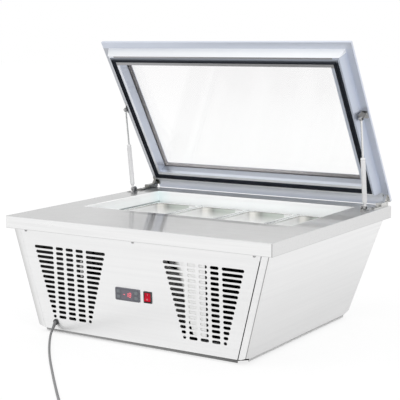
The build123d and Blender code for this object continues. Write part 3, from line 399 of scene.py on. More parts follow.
coatLooks = {
    "gasketRubber": {"tint": (0.014, 0.017, 0.024, 1), "worn": (0.024, 0.028, 0.037, 1), "gloss": 0.6,
        "grain": 900, "depth": 0.03, "shine": 0.12},
    "footRubber": {"tint": (0.022, 0.022, 0.023, 1), "worn": grey(0.04), "gloss": 0.7,
        "grain": 700, "depth": 0.05},
    "collarPlastic": {"tint": (0.945, 0.965, 0.965, 1), "worn": (0.915, 0.94, 0.94, 1), "gloss": 0.22,
        "grain": 300, "depth": 0.008, "coat": 0.4},
    "strutPaint": {"tint": (0.91, 0.91, 0.92, 1), "worn": (0.86, 0.86, 0.87, 1), "gloss": 0.22,
        "grain": 500, "depth": 0.006, "coat": 0.6},
    "whitePaint": {"tint": (0.95, 0.95, 0.945, 1), "worn": (0.92, 0.92, 0.915, 1), "gloss": 0.5,
        "grain": 500, "depth": 0.006, "metal": 0.6},
    "blackPlastic": {"tint": (0.035, 0.037, 0.040, 1), "worn": (0.055, 0.057, 0.06, 1), "gloss": 0.36,
        "grain": 1300, "depth": 0.02},
    "controllerPlastic": {"tint": (0.14, 0.14, 0.165, 1), "worn": (0.19, 0.19, 0.22, 1), "gloss": 0.30,
        "grain": 1500, "depth": 0.015},
    "buttonPlastic": {"tint": (0.22, 0.24, 0.26, 1), "worn": (0.27, 0.29, 0.31, 1), "gloss": 0.40,
        "grain": 1500, "depth": 0.015},
    "spacerPlastic": {"tint": (0.29, 0.275, 0.28, 1), "worn": (0.35, 0.335, 0.34, 1), "gloss": 0.5,
        "grain": 600, "depth": 0.01},
    "blackPaint": {"tint": (0.010, 0.010, 0.011, 1), "worn": (0.020, 0.020, 0.021, 1), "gloss": 0.45,
        "grain": 500, "depth": 0.03, "shine": 0.15},
    "cordRubber": {"tint": (0.20, 0.20, 0.205, 1), "worn": (0.26, 0.26, 0.265, 1), "gloss": 0.45,
        "grain": 800, "depth": 0.02},
    "markWhite": {"tint": (0.78, 0.50, 0.52, 1), "worn": (0.68, 0.40, 0.42, 1), "gloss": 0.45,
        "grain": 900, "depth": 0.01},
    "foam": {"tint": (0.84, 0.78, 0.55, 1), "worn": (0.70, 0.62, 0.40, 1), "gloss": 0.9,
        "grain": 350, "depth": 0.4},
}
coatWear = {"detail": 2.0, "cloud": (28, 3.0), "byGrain": 0.5, "byCloud": 0.9, "less": 0.2,
            "glossBy": (0.10, 0.12), "bump": 0.6, "metal": 0.0, "coat": 0.0, "coatGloss": 0.08, "shine": 0.5}


def coating(word):
    look = {**coatWear, **coatLooks[word]}
    finish = Finish(word, Metallic=look["metal"], Coat_Weight=look["coat"], Coat_Roughness=look["coatGloss"],
                    Specular_IOR_Level=look["shine"])
    return mottled(finish, look)


# Glass of the panes

glassLook = {"clear": (0.999, 1.0, 1.0, 1), "reflectionGrey": (0.972, 0.968, 0.970, 1), "reflectionRun": 220 * mm}


def paneGlass():
    # clear, with a faint painted reflection: greyer towards the top
    look = glassLook
    finish = Finish("paneGlass", Transmission_Weight=1.0, IOR=1.3, Roughness=0.0, Specular_IOR_Level=0.2)
    below = finish.ramp(finish.axes()[2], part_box("inner_pane")[1].z, -look["reflectionRun"])
    return finish.dress(Base_Color=finish.blend(below, look["reflectionGrey"], look["clear"]))


# Window of the controller, red of the rocker and lit digits: two tones in a cloud

cloudLooks = {
    "windowTint": {"tones": ((0.145, 0.130, 0.175, 1), (0.205, 0.185, 0.230, 1)), "cloud": (90, 2.0),
                   "gloss": (0.12, 0.06), "sockets": {"Coat_Weight": 0.5, "Coat_Roughness": 0.04}},
    "rockerRed": {"tones": ((0.72, 0.008, 0.034, 1), (0.50, 0.005, 0.024, 1)), "cloud": (160, 2.0),
                  "gloss": (0.22, 0.08), "sockets": {
                      "Coat_Weight": 0.05, "Coat_Roughness": 0.06, "Specular_IOR_Level": 0.12,
                      "Emission_Color": (0.55, 0.01, 0.03, 1), "Emission_Strength": 0.12}},
    "digitGlow": {"tones": ((1.0, 0.10, 0.14, 1), (1.0, 0.22, 0.26, 1)), "cloud": (700, 2.0), "sockets": {
        "Base_Color": (0.5, 0.02, 0.03, 1), "Roughness": 0.4, "Emission_Strength": 1.4}},
}


def clouded(word):
    look = cloudLooks[word]
    finish = Finish(word, **look["sockets"])
    cloud = finish.noise(*look["cloud"])
    tint = finish.blend(cloud, *look["tones"])
    if "gloss" not in look:
        return finish.dress(Emission_Color=tint)  # it shines by itself
    gloss, amount = look["gloss"]
    return finish.dress(Base_Color=tint, Roughness=gloss + cloud * amount)


# Coatings that change with their place on the freezer

collarLook = {"upper": grey(0.89), "run": 16 * mm, "joint": (0.15, 0.20, 0.20, 1), "jointHigh": 2.2 * mm,
              "cool": (0.82, 0.945, 0.95, 1), "coolRun": 60 * mm, "coolShare": 0.8,
              "fadeFrom": 0.55, "fadeRise": 0.5}


def collarWhite():
    # painted shade greyer towards its top, a painted cyan cast of light in the rear left corner, and a painted
    # shadow line along the left side's foot
    look, finish = collarLook, coating("collarPlastic")
    across, along, height = finish.axes()
    (low, high), (panLow, panHigh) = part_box("well_collar"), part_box("pan_1")
    # painted shade: greyer towards the top
    finish.cover(finish.ramp(height, high.z - look["run"], look["run"]), look["upper"])
    # painted light: a cyan cast in the rear left corner
    fromCorner = (across - low.x) + (high.y - along)
    cool = finish.ramp(fromCorner, look["coolRun"], -look["coolRun"])
    finish.cover(cool * look["coolShare"], look["cool"])
    # painted shadow: the joint tint is a dark line where the left wall meets the pans' rim
    atFoot = (height < panHigh.z + look["jointHigh"]) * (across < panLow.x)
    fade = finish.clamped((high.y - along) / (high.y - low.y) * look["fadeRise"] + look["fadeFrom"])
    return finish.cover(atFoot * fade, look["joint"])


gasketLook = {"outer": 484.5 * mm, "run": 11 * mm, "shadingTint": (0.31, 0.335, 0.385, 1)}


def gasketBlack():
    # black rubber, with painted light on the outer lip along the lid's front edge: a lighter, bluish grey
    look, finish = gasketLook, coating("gasketRubber")
    shadingShare = finish.ramp(lidPlace(finish)[0], look["outer"] - look["run"], look["run"])
    return finish.cover(shadingShare, look["shadingTint"])


baffleLook = {
    "edge": (176.5 * mm, -0.20, -0.40), "from": 63 * mm,  # its place, lean and bend, from this height up
    "edgeShade": grey(0.13), "run": 15 * mm, "edgeShadeAbove": (150 * mm, 40 * mm), "behind": -160 * mm,
    "shadingTint": grey(0.17), "partitionShadeFrom": -60 * mm, "partitionShadeRun": 90 * mm,
}


def baffleWhite():
    # white paint, with painted shade by the baffle's slanting left edge and on the partition's left half
    look, finish = baffleLook, coating("whitePaint")
    across, along, height = finish.axes()
    start, lean, bend = look["edge"]
    above = height - look["from"]
    edge = start + above * lean + above * above * bend
    # painted shade: darker by the baffle's slanting left edge, from a height up
    edgeShadeShare = finish.ramp(across, edge + look["run"], -look["run"]) * finish.ramp(height, *look["edgeShadeAbove"])
    onBaffle = (across > 0) * (along < look["behind"])
    finish.cover(edgeShadeShare * onBaffle, look["edgeShade"])
    # painted shade: the partition darkens towards its left
    shadingShare = finish.ramp(across, look["partitionShadeFrom"], -look["partitionShadeRun"]) * (along > look["behind"])
    return finish.cover(shadingShare, look["shadingTint"])


baseLook = {"left": grey(0.54), "right": grey(0.22), "side": grey(0.80), "skin": 0.6 * mm, "pale": grey(0.95),
            "worn": 3.4 * mm}


def basePaint():
    # black, but for the skirt's outer faces, which take painted shade and light: light grey on the sides, and
    # along the front a grey that darkens from left to right over a pale band at the bottom, tallest on the left
    look, finish = baseLook, coating("blackPaint")
    finish.material.name = "basePaint"
    low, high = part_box("base_plate")
    across, along, height = finish.axes()
    # painted light: the skirt's sides are light grey
    finish.cover(abs(across) > high.x - look["skin"], look["side"])
    # painted shade: along the front the skirt darkens from left to right, over a pale band at the bottom that is
    # tallest on the left and as high as the worn entry says
    way = finish.ramp(across, low.x, high.x - low.x)
    front = finish.blend(way, look["left"], look["right"])
    front = finish.blend(height < low.z + (1 - way) * look["worn"], front, look["pale"])
    return finish.cover(along < low.y + look["skin"], front)


finishes = {
    "worktop_steel": deckSteel(), "panel_steel": panelSteel(), "lid_aluminium": lidAluminium(),
    "galvanised": zincSheet(), "pan_steel": panSteel(), "tank_steel": plainMetal("tank"),
    "bright_steel": plainMetal("bright"), "copper": plainMetal("copper"), "plug_brass": plainMetal("brass"),
    "black_rubber": coating("footRubber"), "clear_glass": paneGlass(), "collar_plastic": collarWhite(),
    "hinge_steel": hingeSteel(), "strut_paint": coating("strutPaint"),
    "black_plastic": coating("blackPlastic"), "grey_plastic": coating("buttonPlastic"),
    "dark_window": clouded("windowTint"), "red_plastic": clouded("rockerRed"),
    "cord_grey": coating("cordRubber"), "pale_foam": coating("foam"), "black_paint": coating("blackPaint"),
    "white_paint": baffleWhite(), "spacer_plastic": coating("spacerPlastic"),
    "controller_plastic": coating("controllerPlastic"), "base_paint": basePaint(),
}
gasketRubber, digitRed, markWhite = gasketBlack(), clouded("digitGlow"), coating("markWhite")
rodSteel = plainMetal("rod")

for part in frame["record"]["subparts"]:
    nodes[part["node"]].material_slots[0].material = finishes[part["material_slot"]].material
for name in ("inner_pane", "outer_pane"):
    nodes[name].visible_shadow = False  # clear glass casts next to no shadow
print("finishes on the solids:", len(finishes))


# Surfaces from arrays

meshPlan = {"merge": 1e-7, "sharp": math.radians(35.0)}


def gridFaces(rows, columns, closedRows=False):
    # four corners of each cell of a grid whose columns, and rows too if asked, close on themselves
    u = np.arange(rows if closedRows else rows - 1)[:, None]
    v = np.arange(columns)[None, :]
    nextU, nextV = (u + 1) % rows, (v + 1) % columns
    corners = (u * columns + v, nextU * columns + v, nextU * columns + nextV, u * columns + nextV)
    return np.stack(np.broadcast_arrays(*corners), axis=-1).reshape(-1, 4)


def joined(grids):
    # several (points, faces) pairs as one
    starts = np.cumsum([0] + [len(points) for points, _ in grids[:-1]])
    points = np.concatenate([points for points, _ in grids])
    faces = np.concatenate([faces + start for (_, faces), start in zip(grids, starts)])
    return points, faces


def placed(name, data):
    thing = bpy.data.objects.new(name, data)
    bpy.context.scene.collection.objects.link(thing)
    return thing


def piece(name, surface, body, slot, stands=(), finish=None):
    # a mesh object at the origin: doubles merged, faces turned outwards, smooth up to the sharp angle
    points, faces = surface
    mesh = bpy.data.meshes.new(name)
    mesh.from_pydata(points.tolist(), [], faces.tolist())
    work = bmesh.new()
    work.from_mesh(mesh)
    bmesh.ops.remove_doubles(work, verts=work.verts, dist=meshPlan["merge"])
    bmesh.ops.dissolve_degenerate(work, edges=work.edges, dist=meshPlan["merge"])
    bmesh.ops.recalc_face_normals(work, faces=work.faces)
    work.to_mesh(mesh)
    work.free()
    mesh.shade_smooth()
    mesh.set_sharp_from_angle(angle=meshPlan["sharp"])
    mesh.materials.append((finish or finishes[slot]).material)
    thing = placed(name, mesh)
    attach(thing, body)
    if stands:
        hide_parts(*stands)
    return thing


def crossAxes(axis):
    # two unit vectors square to an axis and to each other
    axis = np.asarray(axis, float)
    side = np.cross(axis, (1.0, 0.0, 0.0) if abs(axis[0]) < 0.9 else (0.0, 1.0, 0.0))
    side /= np.linalg.norm(side)
    return side, np.cross(axis, side)


def turned(profile, origin, axis, count, flutes=0, fluteDepth=0.0):
    # (along, radius) pairs turned about an axis and closed at both poles; flutes cut into the radius by the
    # cosine of the angle times their number, as deep as a third value says
    profile = np.array([tuple(point) + (0.0,) * (3 - len(point)) for point in profile])
    profile = np.vstack([(profile[0, 0], 0, 0), profile, (profile[-1, 0], 0, 0)]) * (mm, mm, 1)
    side, up = crossAxes(axis)
    angle = np.linspace(0, 2 * np.pi, count, endpoint=False)
    ring = np.cos(angle)[:, None] * side + np.sin(angle)[:, None] * up
    radius = profile[:, 1, None] - fluteDepth * mm * profile[:, 2, None] * (1 + np.cos(angle * flutes)) / 2
    along = np.asarray(axis, float) * profile[:, :1]
    points = np.asarray(origin, float) + along[:, None, :] + radius[:, :, None] * ring[None]
    return points.reshape(-1, 3), gridFaces(len(profile), count)


def shifted(steps, along, radius):
    # a profile from steps that are given from a place along the axis and from a radius
    return [(along + step[0], radius + step[1], *step[2:]) for step in steps]


def vertexArray(node):
    # a solid's vertices as an array
    flat = np.empty(len(nodes[node].data.vertices) * 3, np.float32)
    nodes[node].data.vertices.foreach_get("co", flat)
    return flat.reshape(-1, 3).astype(float)


# Mains cord: the route from the strain relief over the floor, then the coil of the spare length

cordPlan = {
    "diameter": 6.5 * mm, "length": 2.003, "frontY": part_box("worktop")[0].y,
    "route": [  # x, y from the worktop's front edge, height
        (-271.6, 11.776, 16.995), (-271.6, 8.367, 12.303), (-270.6, 4.0, 8.3), (-267.7, -2.0, 5.0),
        (-263.0, -9.0, 3.3), (-254.5, -20.0, 3.25), (-238.5, -40.5, 3.25), (-210.0, -76.0, 3.25),
        (-164.0, -131.0, 3.25), (-107.0, -195.0, 3.25), (-47.0, -259.0, 3.25), (13.5, -323.0, 3.25),
        (74.5, -386.5, 3.25), (116.5, -429.5, 3.4), (188.9, -500.9, 3.95), (210.4, -521.9, 3.95),
    ],
    "coilInner": 27.5 * mm, "pitch": 7.2 * mm, "layer": 7.2 * mm, "turn": 1879.0, "climb": 180.0,
    "pointsPerTurn": 24, "plugHeight": 18.0 * mm, "plugRun": 52.0 * mm,
    "plugSteps": ((0.3, 0.0), (0.7, 1.0), (1.0, 1.0)),  # shares of the run and of the rise to the plug
    "roundness": 4, "order": 3, "smoothness": 6,
}


def cordPoints(plan):
    # route points, a flat spiral in on the lower layer and out on the upper one, then the rise to the plug
    route = np.array(plan["route"]) * mm + (0, plan["frontY"], 0)
    way = route[-1] - route[-2]
    way[2] = 0.0
    way /= np.linalg.norm(way)
    half = plan["turn"] / 2
    outer = plan["coilInner"] + plan["pitch"] * half / 360
    entry = route[-1] + way * plan["diameter"]
    centre = entry + np.array((-way[1], way[0], 0)) * outer
    first = math.degrees(math.atan2(entry[1] - centre[1], entry[0] - centre[0]))
    turn = np.linspace(0, plan["turn"], round(plan["turn"] / 360 * plan["pointsPerTurn"]) + 1)
    radius = plan["coilInner"] + plan["pitch"] * np.abs(turn - half) / 360
    climb = np.clip((turn - half) / plan["climb"] + 0.5, 0, 1)
    angle = np.radians(first + turn)
    height = plan["layer"] * (1 - np.cos(np.pi * climb)) / 2
    coil = centre + np.stack([radius * np.cos(angle), radius * np.sin(angle), height], axis=-1)
    leave = np.array((-math.sin(angle[-1]), math.cos(angle[-1]), 0))
    rise = plan["plugHeight"] - coil[-1, 2]
    steps = np.array(plan["plugSteps"])
    lift = coil[-1] + steps[:, :1] * plan["plugRun"] * leave + steps[:, 1:] * (0, 0, rise)
    end = lift[-1] + leave * plan["diameter"]
    return np.vstack([route, coil, lift, end]), centre, first, leave


def cordPiece(plan, points):
    curve = bpy.data.curves.new("mainsCord", "CURVE")
    curve.dimensions = "3D"
    curve.bevel_depth, curve.bevel_resolution = plan["diameter"] / 2, plan["roundness"]
    curve.use_fill_caps = True
    spline = curve.splines.new("NURBS")
    spline.points.add(len(points) - 1)
    spline.points.foreach_set("co", np.column_stack([points, np.ones(len(points))]).ravel())
    spline.order_u, spline.resolution_u = plan["order"], plan["smoothness"]
    spline.use_endpoint_u = True
    curve.materials.append(finishes["cord_grey"].material)
    flex = placed("mainsCord", curve)
    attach(flex, "cabinet")
    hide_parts("mains_cord", "cord_coil")
    return flex


cordLine, coilCentre, coilFirst, cordLeave = cordPoints(cordPlan)
flex = cordPiece(cordPlan, cordLine)

# Plug: a ribbed neck that widens to a round body with finger flutes

plugPlan = {
    "neck": (4.4, 11.6), "neckLength": 24.0, "ribs": 5, "ribHeight": 0.7, "ribsTo": 0.8, "samples": 41,
    "radius": 18.0, "length": 46.0, "flutes": 14, "fluteDepth": 1.1, "sides": 84,
    "shoulder": ((0.4, -4), (1.2, -1.6), (3, -0.2), (4, 0, 0), (5.5, 0, 1)),  # from the neck's end
    "heel": ((-6, 0, 1), (-4.5, 0, 0), (-2.4, 0), (-0.8, -0.7), (0, -2.2)),  # from the body's end
}


def plugBody(plan):
    # the neck's radius grows with the square of the run, plus a rib wave that ends before the body
    run = np.linspace(0, 1, plan["samples"])
    low, high = plan["neck"]
    wave = np.clip(np.cos(2 * np.pi * plan["ribs"] * run), 0, 1) * plan["ribHeight"] * (run < plan["ribsTo"])
    neck = [(plan["neckLength"] * t, low + (high - low) * t * t + w) for t, w in zip(run, wave)]
    body = (shifted(plan["shoulder"], plan["neckLength"], plan["radius"])
            + shifted(plan["heel"], plan["length"], plan["radius"]))
    return turned(neck + body, cordLine[-1], cordLeave, plan["sides"], plan["flutes"], plan["fluteDepth"])


plug = piece("plugBody", plugBody(plugPlan), "cabinet", "cord_grey", ["plug_body"])

# Tie round the coil: a flat band, its path a rounded rectangle in the plane of the coil's radius and height

tiePlan = {"past": 100.0, "inner": 26.0, "outer": 48.2, "top": 15.0, "wide": 7.0, "thick": 0.55,
           "square": 5.0, "samples": 96}


def coilTie(plan):
    # |x|^n + |z|^n = 1 with n for squareness, walked once, in four corners of the band's cross-section
    angle = math.radians(coilFirst + plan["past"])
    radial = np.array((math.cos(angle), math.sin(angle), 0))
    along = np.array((-math.sin(angle), math.cos(angle), 0))
    t = np.linspace(0, 2 * np.pi, plan["samples"], endpoint=False)
    cx, cz = (np.sign(f) * np.abs(f) ** (2 / plan["square"]) for f in (np.cos(t), np.sin(t)))
    half = np.array(((plan["outer"] - plan["inner"]) / 2, plan["top"] / 2))
    middle = np.array(((plan["outer"] + plan["inner"]) / 2, plan["top"] / 2))
    thin, wide = np.array((0, -1, -1, 0)) * plan["thick"], np.array((-1, -1, 1, 1)) * plan["wide"] / 2
    across = (middle[0] + cx[:, None] * (half[0] + thin)) * mm
    height = (middle[1] + cz[:, None] * (half[1] + thin)) * mm
    ground = np.array((coilCentre[0], coilCentre[1], 0))
    points = ground + across[..., None] * radial + (wide * mm)[None, :, None] * along
    points = points + height[..., None] * (0, 0, 1)
    return points.reshape(-1, 3), gridFaces(len(t), 4, closedRows=True)


tie = piece("coilTie", coilTie(tiePlan), "cabinet", "black_rubber")
print("cord laid:", len(cordLine), "points, with plug and tie")

# Strain relief: a tapered sleeve with ribs, from inside the gland to where the cord leaves

sleevePlan = {"root": 4.6, "tip": 3.6, "length": 20.0, "inside": 3.0, "insideLess": 1.0, "ribs": 5,
              "ribHeight": 0.5, "ribFullness": 0.5, "ribFade": 0.6, "samples": 61, "sides": 36}


def ribbedSleeve(plan):
    # radius falls in a straight line from root to tip, plus ribs that are flat between and lower to the tip
    run = np.linspace(0, 1, plan["samples"])
    wave = np.clip(np.sin(2 * np.pi * plan["ribs"] * run), 0, 1) ** plan["ribFullness"]
    wave = wave * plan["ribHeight"] * (1 - run * plan["ribFade"])
    radius = plan["root"] + (plan["tip"] - plan["root"]) * run + wave
    out = cordLine[1] - cordLine[0]
    out /= np.linalg.norm(out)
    inside = [(-plan["length"] - plan["inside"], plan["root"] - plan["insideLess"])]
    profile = inside + list(zip(plan["length"] * (run - 1), radius))
    return turned(profile, cordLine[0], out, plan["sides"])


piece("cordSleeve", ribbedSleeve(sleevePlan), "cabinet", "cord_grey", ["strain_relief"])

# Gas struts: a painted cylinder with a rolled end, a bright rod, and an eye with a dark cap at each end

strutPlan = {
    "length": 250.87, "cylinderEnd": 142.0, "cylinder": 6.7, "bore": 3.35, "boreFoot": 20.0, "rod": 3.0,
    "rodInside": 26.0, "eye": 7.0, "eyeWide": 7.0, "cap": 3.5, "capIn": 0.5, "capOut": 2.7,
    "cylinderSides": 40, "rodSides": 32, "eyeSides": 36, "capSides": 24,
    # steps along and out, from a place on the axis and a radius
    "tail": ((5.5, -3.1), (10.5, -3.1), (11, -2.1), (13.6, -2.1), (14, -1.3), (14.8, -0.5), (16.2, 0)),
    "roll": ((-9, 0), (-8.4, -0.5), (-6.9, -0.5), (-6.3, 0), (-2.2, 0), (-0.8, -0.6), (0, -1.8)),
    "mouth": ((0, 0.6), (-0.6, 0)), "rodFoot": ((0, -0.4), (0.4, 0)),
    "rodSocket": ((-15.2, 0), (-15, 0.1), (-14.8, 0.2), (-5.5, 0.2)),
    "eyeEdge": ((0, -1.6), (0.3, -0.9), (1, -0.25), (1.9, 0)), "capEdge": ((-1, 0), (-0.3, -0.4), (0, -1.2)),
}


def strutCylinder(plan, low, along):
    # the stepped tail, the groove and the rolled end, then back down the bore
    end, bore = plan["cylinderEnd"], plan["bore"]
    outside = shifted(plan["tail"], 0, plan["cylinder"]) + shifted(plan["roll"], end, plan["cylinder"])
    inside = shifted(plan["mouth"], end, bore) + [(plan["boreFoot"], bore)]
    return turned(outside + inside, low, along, plan["cylinderSides"])


def strutRod(plan, high, along):
    # from its foot in the cylinder up to the socket below the eye
    reach, r = plan["length"] - plan["cylinderEnd"] + plan["rodInside"], plan["rod"]
    profile = shifted(plan["rodFoot"], -reach, r) + shifted(plan["rodSocket"], 0, r)
    return turned(profile, high, along, plan["rodSides"])


def strutEye(plan, ball):
    # a barrel about the pivot at one end, square to the strut, its rims rounded by steps
    near = shifted(plan["eyeEdge"], -plan["eyeWide"] / 2, plan["eye"])
    far = [(-along, radius) for along, radius in reversed(near)]
    return turned(near + far, ball, (1, 0, 0), plan["eyeSides"])


def eyeCap(plan, ball, side):
    # a short button on the eye's outer end
    half, r = plan["eyeWide"] / 2, plan["cap"]
    profile = [(half - plan["capIn"], r)] + shifted(plan["capEdge"], half + plan["capOut"], r)
    return turned(profile, ball, (side, 0, 0), plan["capSides"])


for side, word in ((-1, "left"), (1, "right")):
    cylinderBody, rodBody = word + "_strut_cylinder", word + "_strut_rod"
    strutLow = np.array(joints[word + "_strut_swing"]["pos_m"])
    strutAlong = np.array(joints[word + "_strut_slide"]["axis"])
    strutHigh = strutLow + strutAlong * strutPlan["length"] * mm
    for end, ball, body in (("Low", strutLow, cylinderBody), ("High", strutHigh, rodBody)):
        piece(word + "Strut" + end + "Eye", strutEye(strutPlan, ball), body, "bright_steel")
        piece(word + "Strut" + end + "Cap", eyeCap(strutPlan, ball, side), body, "black_plastic")
    piece(word + "StrutCylinder", strutCylinder(strutPlan, strutLow, strutAlong), cylinderBody,
          "strut_paint", [word + "_strut_cylinder"])
    piece(word + "StrutRod", strutRod(strutPlan, strutHigh, strutAlong), rodBody,
          "bright_steel", [word + "_strut_rod"], rodSteel)
print("struts made")

# Lid gasket: two soft ridges on a strip, carried round the lid's box with mitred corners

lidHinge = np.array(joints["lid_hinge"]["pos_m"])
lidAxes = np.array(((1, 0, 0), (0, math.cos(lidOpen), -math.sin(lidOpen)),
                    (0, math.sin(lidOpen), math.cos(lidOpen))))
gasketPlan = {"band": 15.8, "seat": 3.0, "ridge": 3.0, "fullness": 0.62, "samples": 41}


def gasketRing(plan):
    # depth below the seat is the ridge height times |sin|^fullness of the way across, two half waves in all;
    # each point of that profile is carried round a rectangle set in by its way across
    local = (vertexArray("lid_gasket") - lidHinge) @ lidAxes.T
    low, high = local.min(0), local.max(0)
    way = np.linspace(0, 1, plan["samples"])
    wave = np.abs(np.sin(2 * np.pi * way)) ** plan["fullness"]
    inset, height = way * plan["band"] * mm, high[2] - (plan["seat"] + plan["ridge"] * wave) * mm
    inset, height = np.append(inset, inset[[-1, 0]]), np.append(height, high[[2, 2]])
    across = np.stack([low[0] + inset, high[0] - inset, high[0] - inset, low[0] + inset])
    along = np.stack([low[1] + inset, low[1] + inset, high[1] - inset, high[1] - inset])
    points = np.stack([across, along, np.broadcast_to(height, across.shape)], axis=-1)
    return (points @ lidAxes + lidHinge).reshape(-1, 3), gridFaces(4, len(inset), closedRows=True)


piece("lidGasket", gasketRing(gasketPlan), "lid", "black_rubber", ["lid_gasket"], gasketRubber)
print("gasket made")

# Red rocker: a hollowed face, tipped with its top edge pressed in, and its two marks

panelLean = math.radians(2.386)  # how far the front panel leans from upright
panelOut = np.array((0, -math.cos(panelLean), -math.sin(panelLean)))
panelUp = np.array((0, -math.sin(panelLean), math.cos(panelLean)))
rockerPlan = {
    "tip": math.radians(8.0), "half": 11.0, "wide": 19.2, "middle": 5.0, "rise": 2.0, "samples": 33,
    "lip": 0.7, "lipRun": 0.35, "waist": (10.9, 5.6), "foot": (9.0, -4.0),
    "edge": (0.9, 0.42, 0.12, 0.0), "edgeRun": (0.0, 0.25, 0.6, 1.1),
    "bar": (3.6, 8.0), "barWide": 1.0, "ring": (1.6, 2.3), "ringUp": -5.8, "ringSides": 40,
    "markProud": 0.12, "markSunk": 0.3,
}
rockerPivot = np.array(joints["switch_rock"]["pos_m"])
rockerUp = panelUp * math.cos(rockerPlan["tip"]) - panelOut * math.sin(rockerPlan["tip"])
rockerOut = panelOut * math.cos(rockerPlan["tip"]) + panelUp * math.sin(rockerPlan["tip"])


def onRocker(points):
    # (across, up, out) in millimetres, from the pivot
    return rockerPivot + np.asarray(points) @ np.array(((1, 0, 0), rockerUp, rockerOut)) * mm


def rockerFace(plan, up):
    # the hollow: a parabola over the rocker's height
    return plan["middle"] + plan["rise"] * (up / plan["half"]) ** 2


def rockerShell(plan):
    # the hollow face falls away by an exponential at its lips; the loop of face, waist and foot is carried
    # across the rocker and shrinks at both sides by the edge's steps
    half, wide = plan["half"], plan["wide"]
    up = np.linspace(-half, half, plan["samples"])
    out = rockerFace(plan, up) - plan["lip"] * np.exp(-(half - np.abs(up)) / plan["lipRun"])
    below = np.array((plan["waist"], plan["foot"]))
    loop = np.vstack([np.column_stack([up, out]), below, below[::-1] * (-1, 1)])
    inset, run = np.array(plan["edge"]), np.array(plan["edgeRun"])
    inset = np.concatenate([inset, inset[::-1]])[:, None]
    across = np.concatenate([run, wide - run[::-1]]) - wide / 2
    rows = np.stack([np.broadcast_to(across[:, None], (len(across), len(loop))),
                     loop[:, 0] * (1 - inset / half), loop[:, 1] - inset * (loop[:, 1] > 0)], axis=-1)
    caps = [np.repeat([[(x, 0, 1)]], len(loop), 1) for x in across[[0, -1]]]
    rows = np.concatenate([caps[0], rows, caps[1]])
    return onRocker(rows.reshape(-1, 3)), gridFaces(len(rows), len(loop))


def rockerMarks(plan):
    # a bar above the pivot and a ring below it, both thin and laid on the face
    proud, sunk = plan["markProud"], -plan["markSunk"]
    barAcross, barUp = np.array((-1, 1, 1, -1)) * plan["barWide"] / 2, np.repeat(plan["bar"], 2)
    barOut = rockerFace(plan, barUp) + np.array((sunk, proud))[:, None]
    bar = np.stack(np.broadcast_arrays(barAcross, barUp, barOut), axis=-1)
    ends = np.repeat(bar.mean(1, keepdims=True), len(barUp), 1)
    bar = np.concatenate([ends[:1], bar, ends[1:]])
    t = np.linspace(0, 2 * np.pi, plan["ringSides"], endpoint=False)
    inner, outer = plan["ring"]
    radius = np.array((inner, outer, outer, inner))[:, None]
    lift = np.array((proud, proud, sunk, sunk))[:, None]
    ringUp = plan["ringUp"] + radius * np.sin(t)
    ring = np.stack([radius * np.cos(t), ringUp, rockerFace(plan, ringUp) + lift], axis=-1)
    points, faces = joined([(bar.reshape(-1, 3), gridFaces(len(bar), len(barUp))),
                            (ring.reshape(-1, 3), gridFaces(len(ring), len(t), closedRows=True))])
    return onRocker(points), faces


piece("rockerShell", rockerShell(rockerPlan), "switch_rocker", "red_plastic", ["switch_rocker"])
piece("rockerMarks", rockerMarks(rockerPlan), "switch_rocker", "red_plastic", finish=markWhite)

# Controller: the digits of its display

digitPlan = {
    "text": ("-", "1", "8"), "starts": (-9.4, -0.6, 9.0), "half": (3.0, 5.6), "bar": 1.25, "gap": 0.35,
    "lean": 0.10, "sunk": 0.2, "proud": 0.12,
}
digitBars = {  # place in half widths and half heights, and whether it stands
    "a": (0, 1, 0), "b": (1, 0.5, 1), "c": (1, -0.5, 1), "d": (0, -1, 0), "e": (-1, -0.5, 1),
    "f": (-1, 0.5, 1), "g": (0, 0, 0),
}
digitLit = {"-": "g", "1": "bc", "8": "abcdefg"}


def digitBar(plan, start, place):
    # a long hexagon between two levels, closed over both
    (w, h), (x, y, stands) = plan["half"], place
    long, thin = (h / 2 if stands else w) - plan["gap"], plan["bar"] / 2
    along = np.array((-long, -long + thin, long - thin, long, long - thin, -long + thin))
    aside = np.array((0, thin, thin, 0, -thin, -thin))
    right, up = (aside, along) if stands else (along, aside)
    up = up + y * h
    right = right + start + x * w + up * plan["lean"]
    outline = np.column_stack([right, up])
    middle = np.broadcast_to(outline.mean(0), outline.shape)
    flat = np.stack([middle, outline, outline, middle])
    level = np.array((-plan["sunk"], -plan["sunk"], plan["proud"], plan["proud"]))[:, None, None]
    points = np.concatenate([flat, np.broadcast_to(level, (*flat.shape[:2], 1))], axis=-1)
    return points.reshape(-1, 3), gridFaces(*flat.shape[:2])


def onWindow(points):
    # (right, up, out) in millimetres from the middle of the window's face
    local = vertexArray("controller_window")
    out = (local @ panelOut).max()
    middle = (local.min(0) + local.max(0)) / 2
    middle = middle + panelOut * (out - middle @ panelOut)
    return middle + points @ np.array(((1, 0, 0), panelUp, panelOut)) * mm


digits, digitFaces = joined([digitBar(digitPlan, start, digitBars[bar]) for glyph, start in
                             zip(digitPlan["text"], digitPlan["starts"]) for bar in digitLit[glyph]])
piece("displayDigits", (onWindow(digits), digitFaces), "cabinet", "red_plastic", finish=digitRed)
print("switch and display made")


# Studio: pale floor, white surroundings and soft lamps

studio = {
    "sky": 0.95, "floor": 0.21, "floorLift": 0.81, "floorSize": 40.0,
    "key": {"place": (-2.2, -2.8, 2.4), "aim": (0, 0, 0.3), "size": 2.0, "power": 9.0},
    "top": {"place": (0.2, -0.3, 3.2), "aim": (0, 0, 0.3), "size": 2.2, "power": 6.0},
    "well": {"place": (2.0, -1.4, 2.2), "aim": (0, 0.06, 0.30), "size": 0.25, "power": 250.0,
             "cone": math.radians(17.0), "blend": 0.6},
}


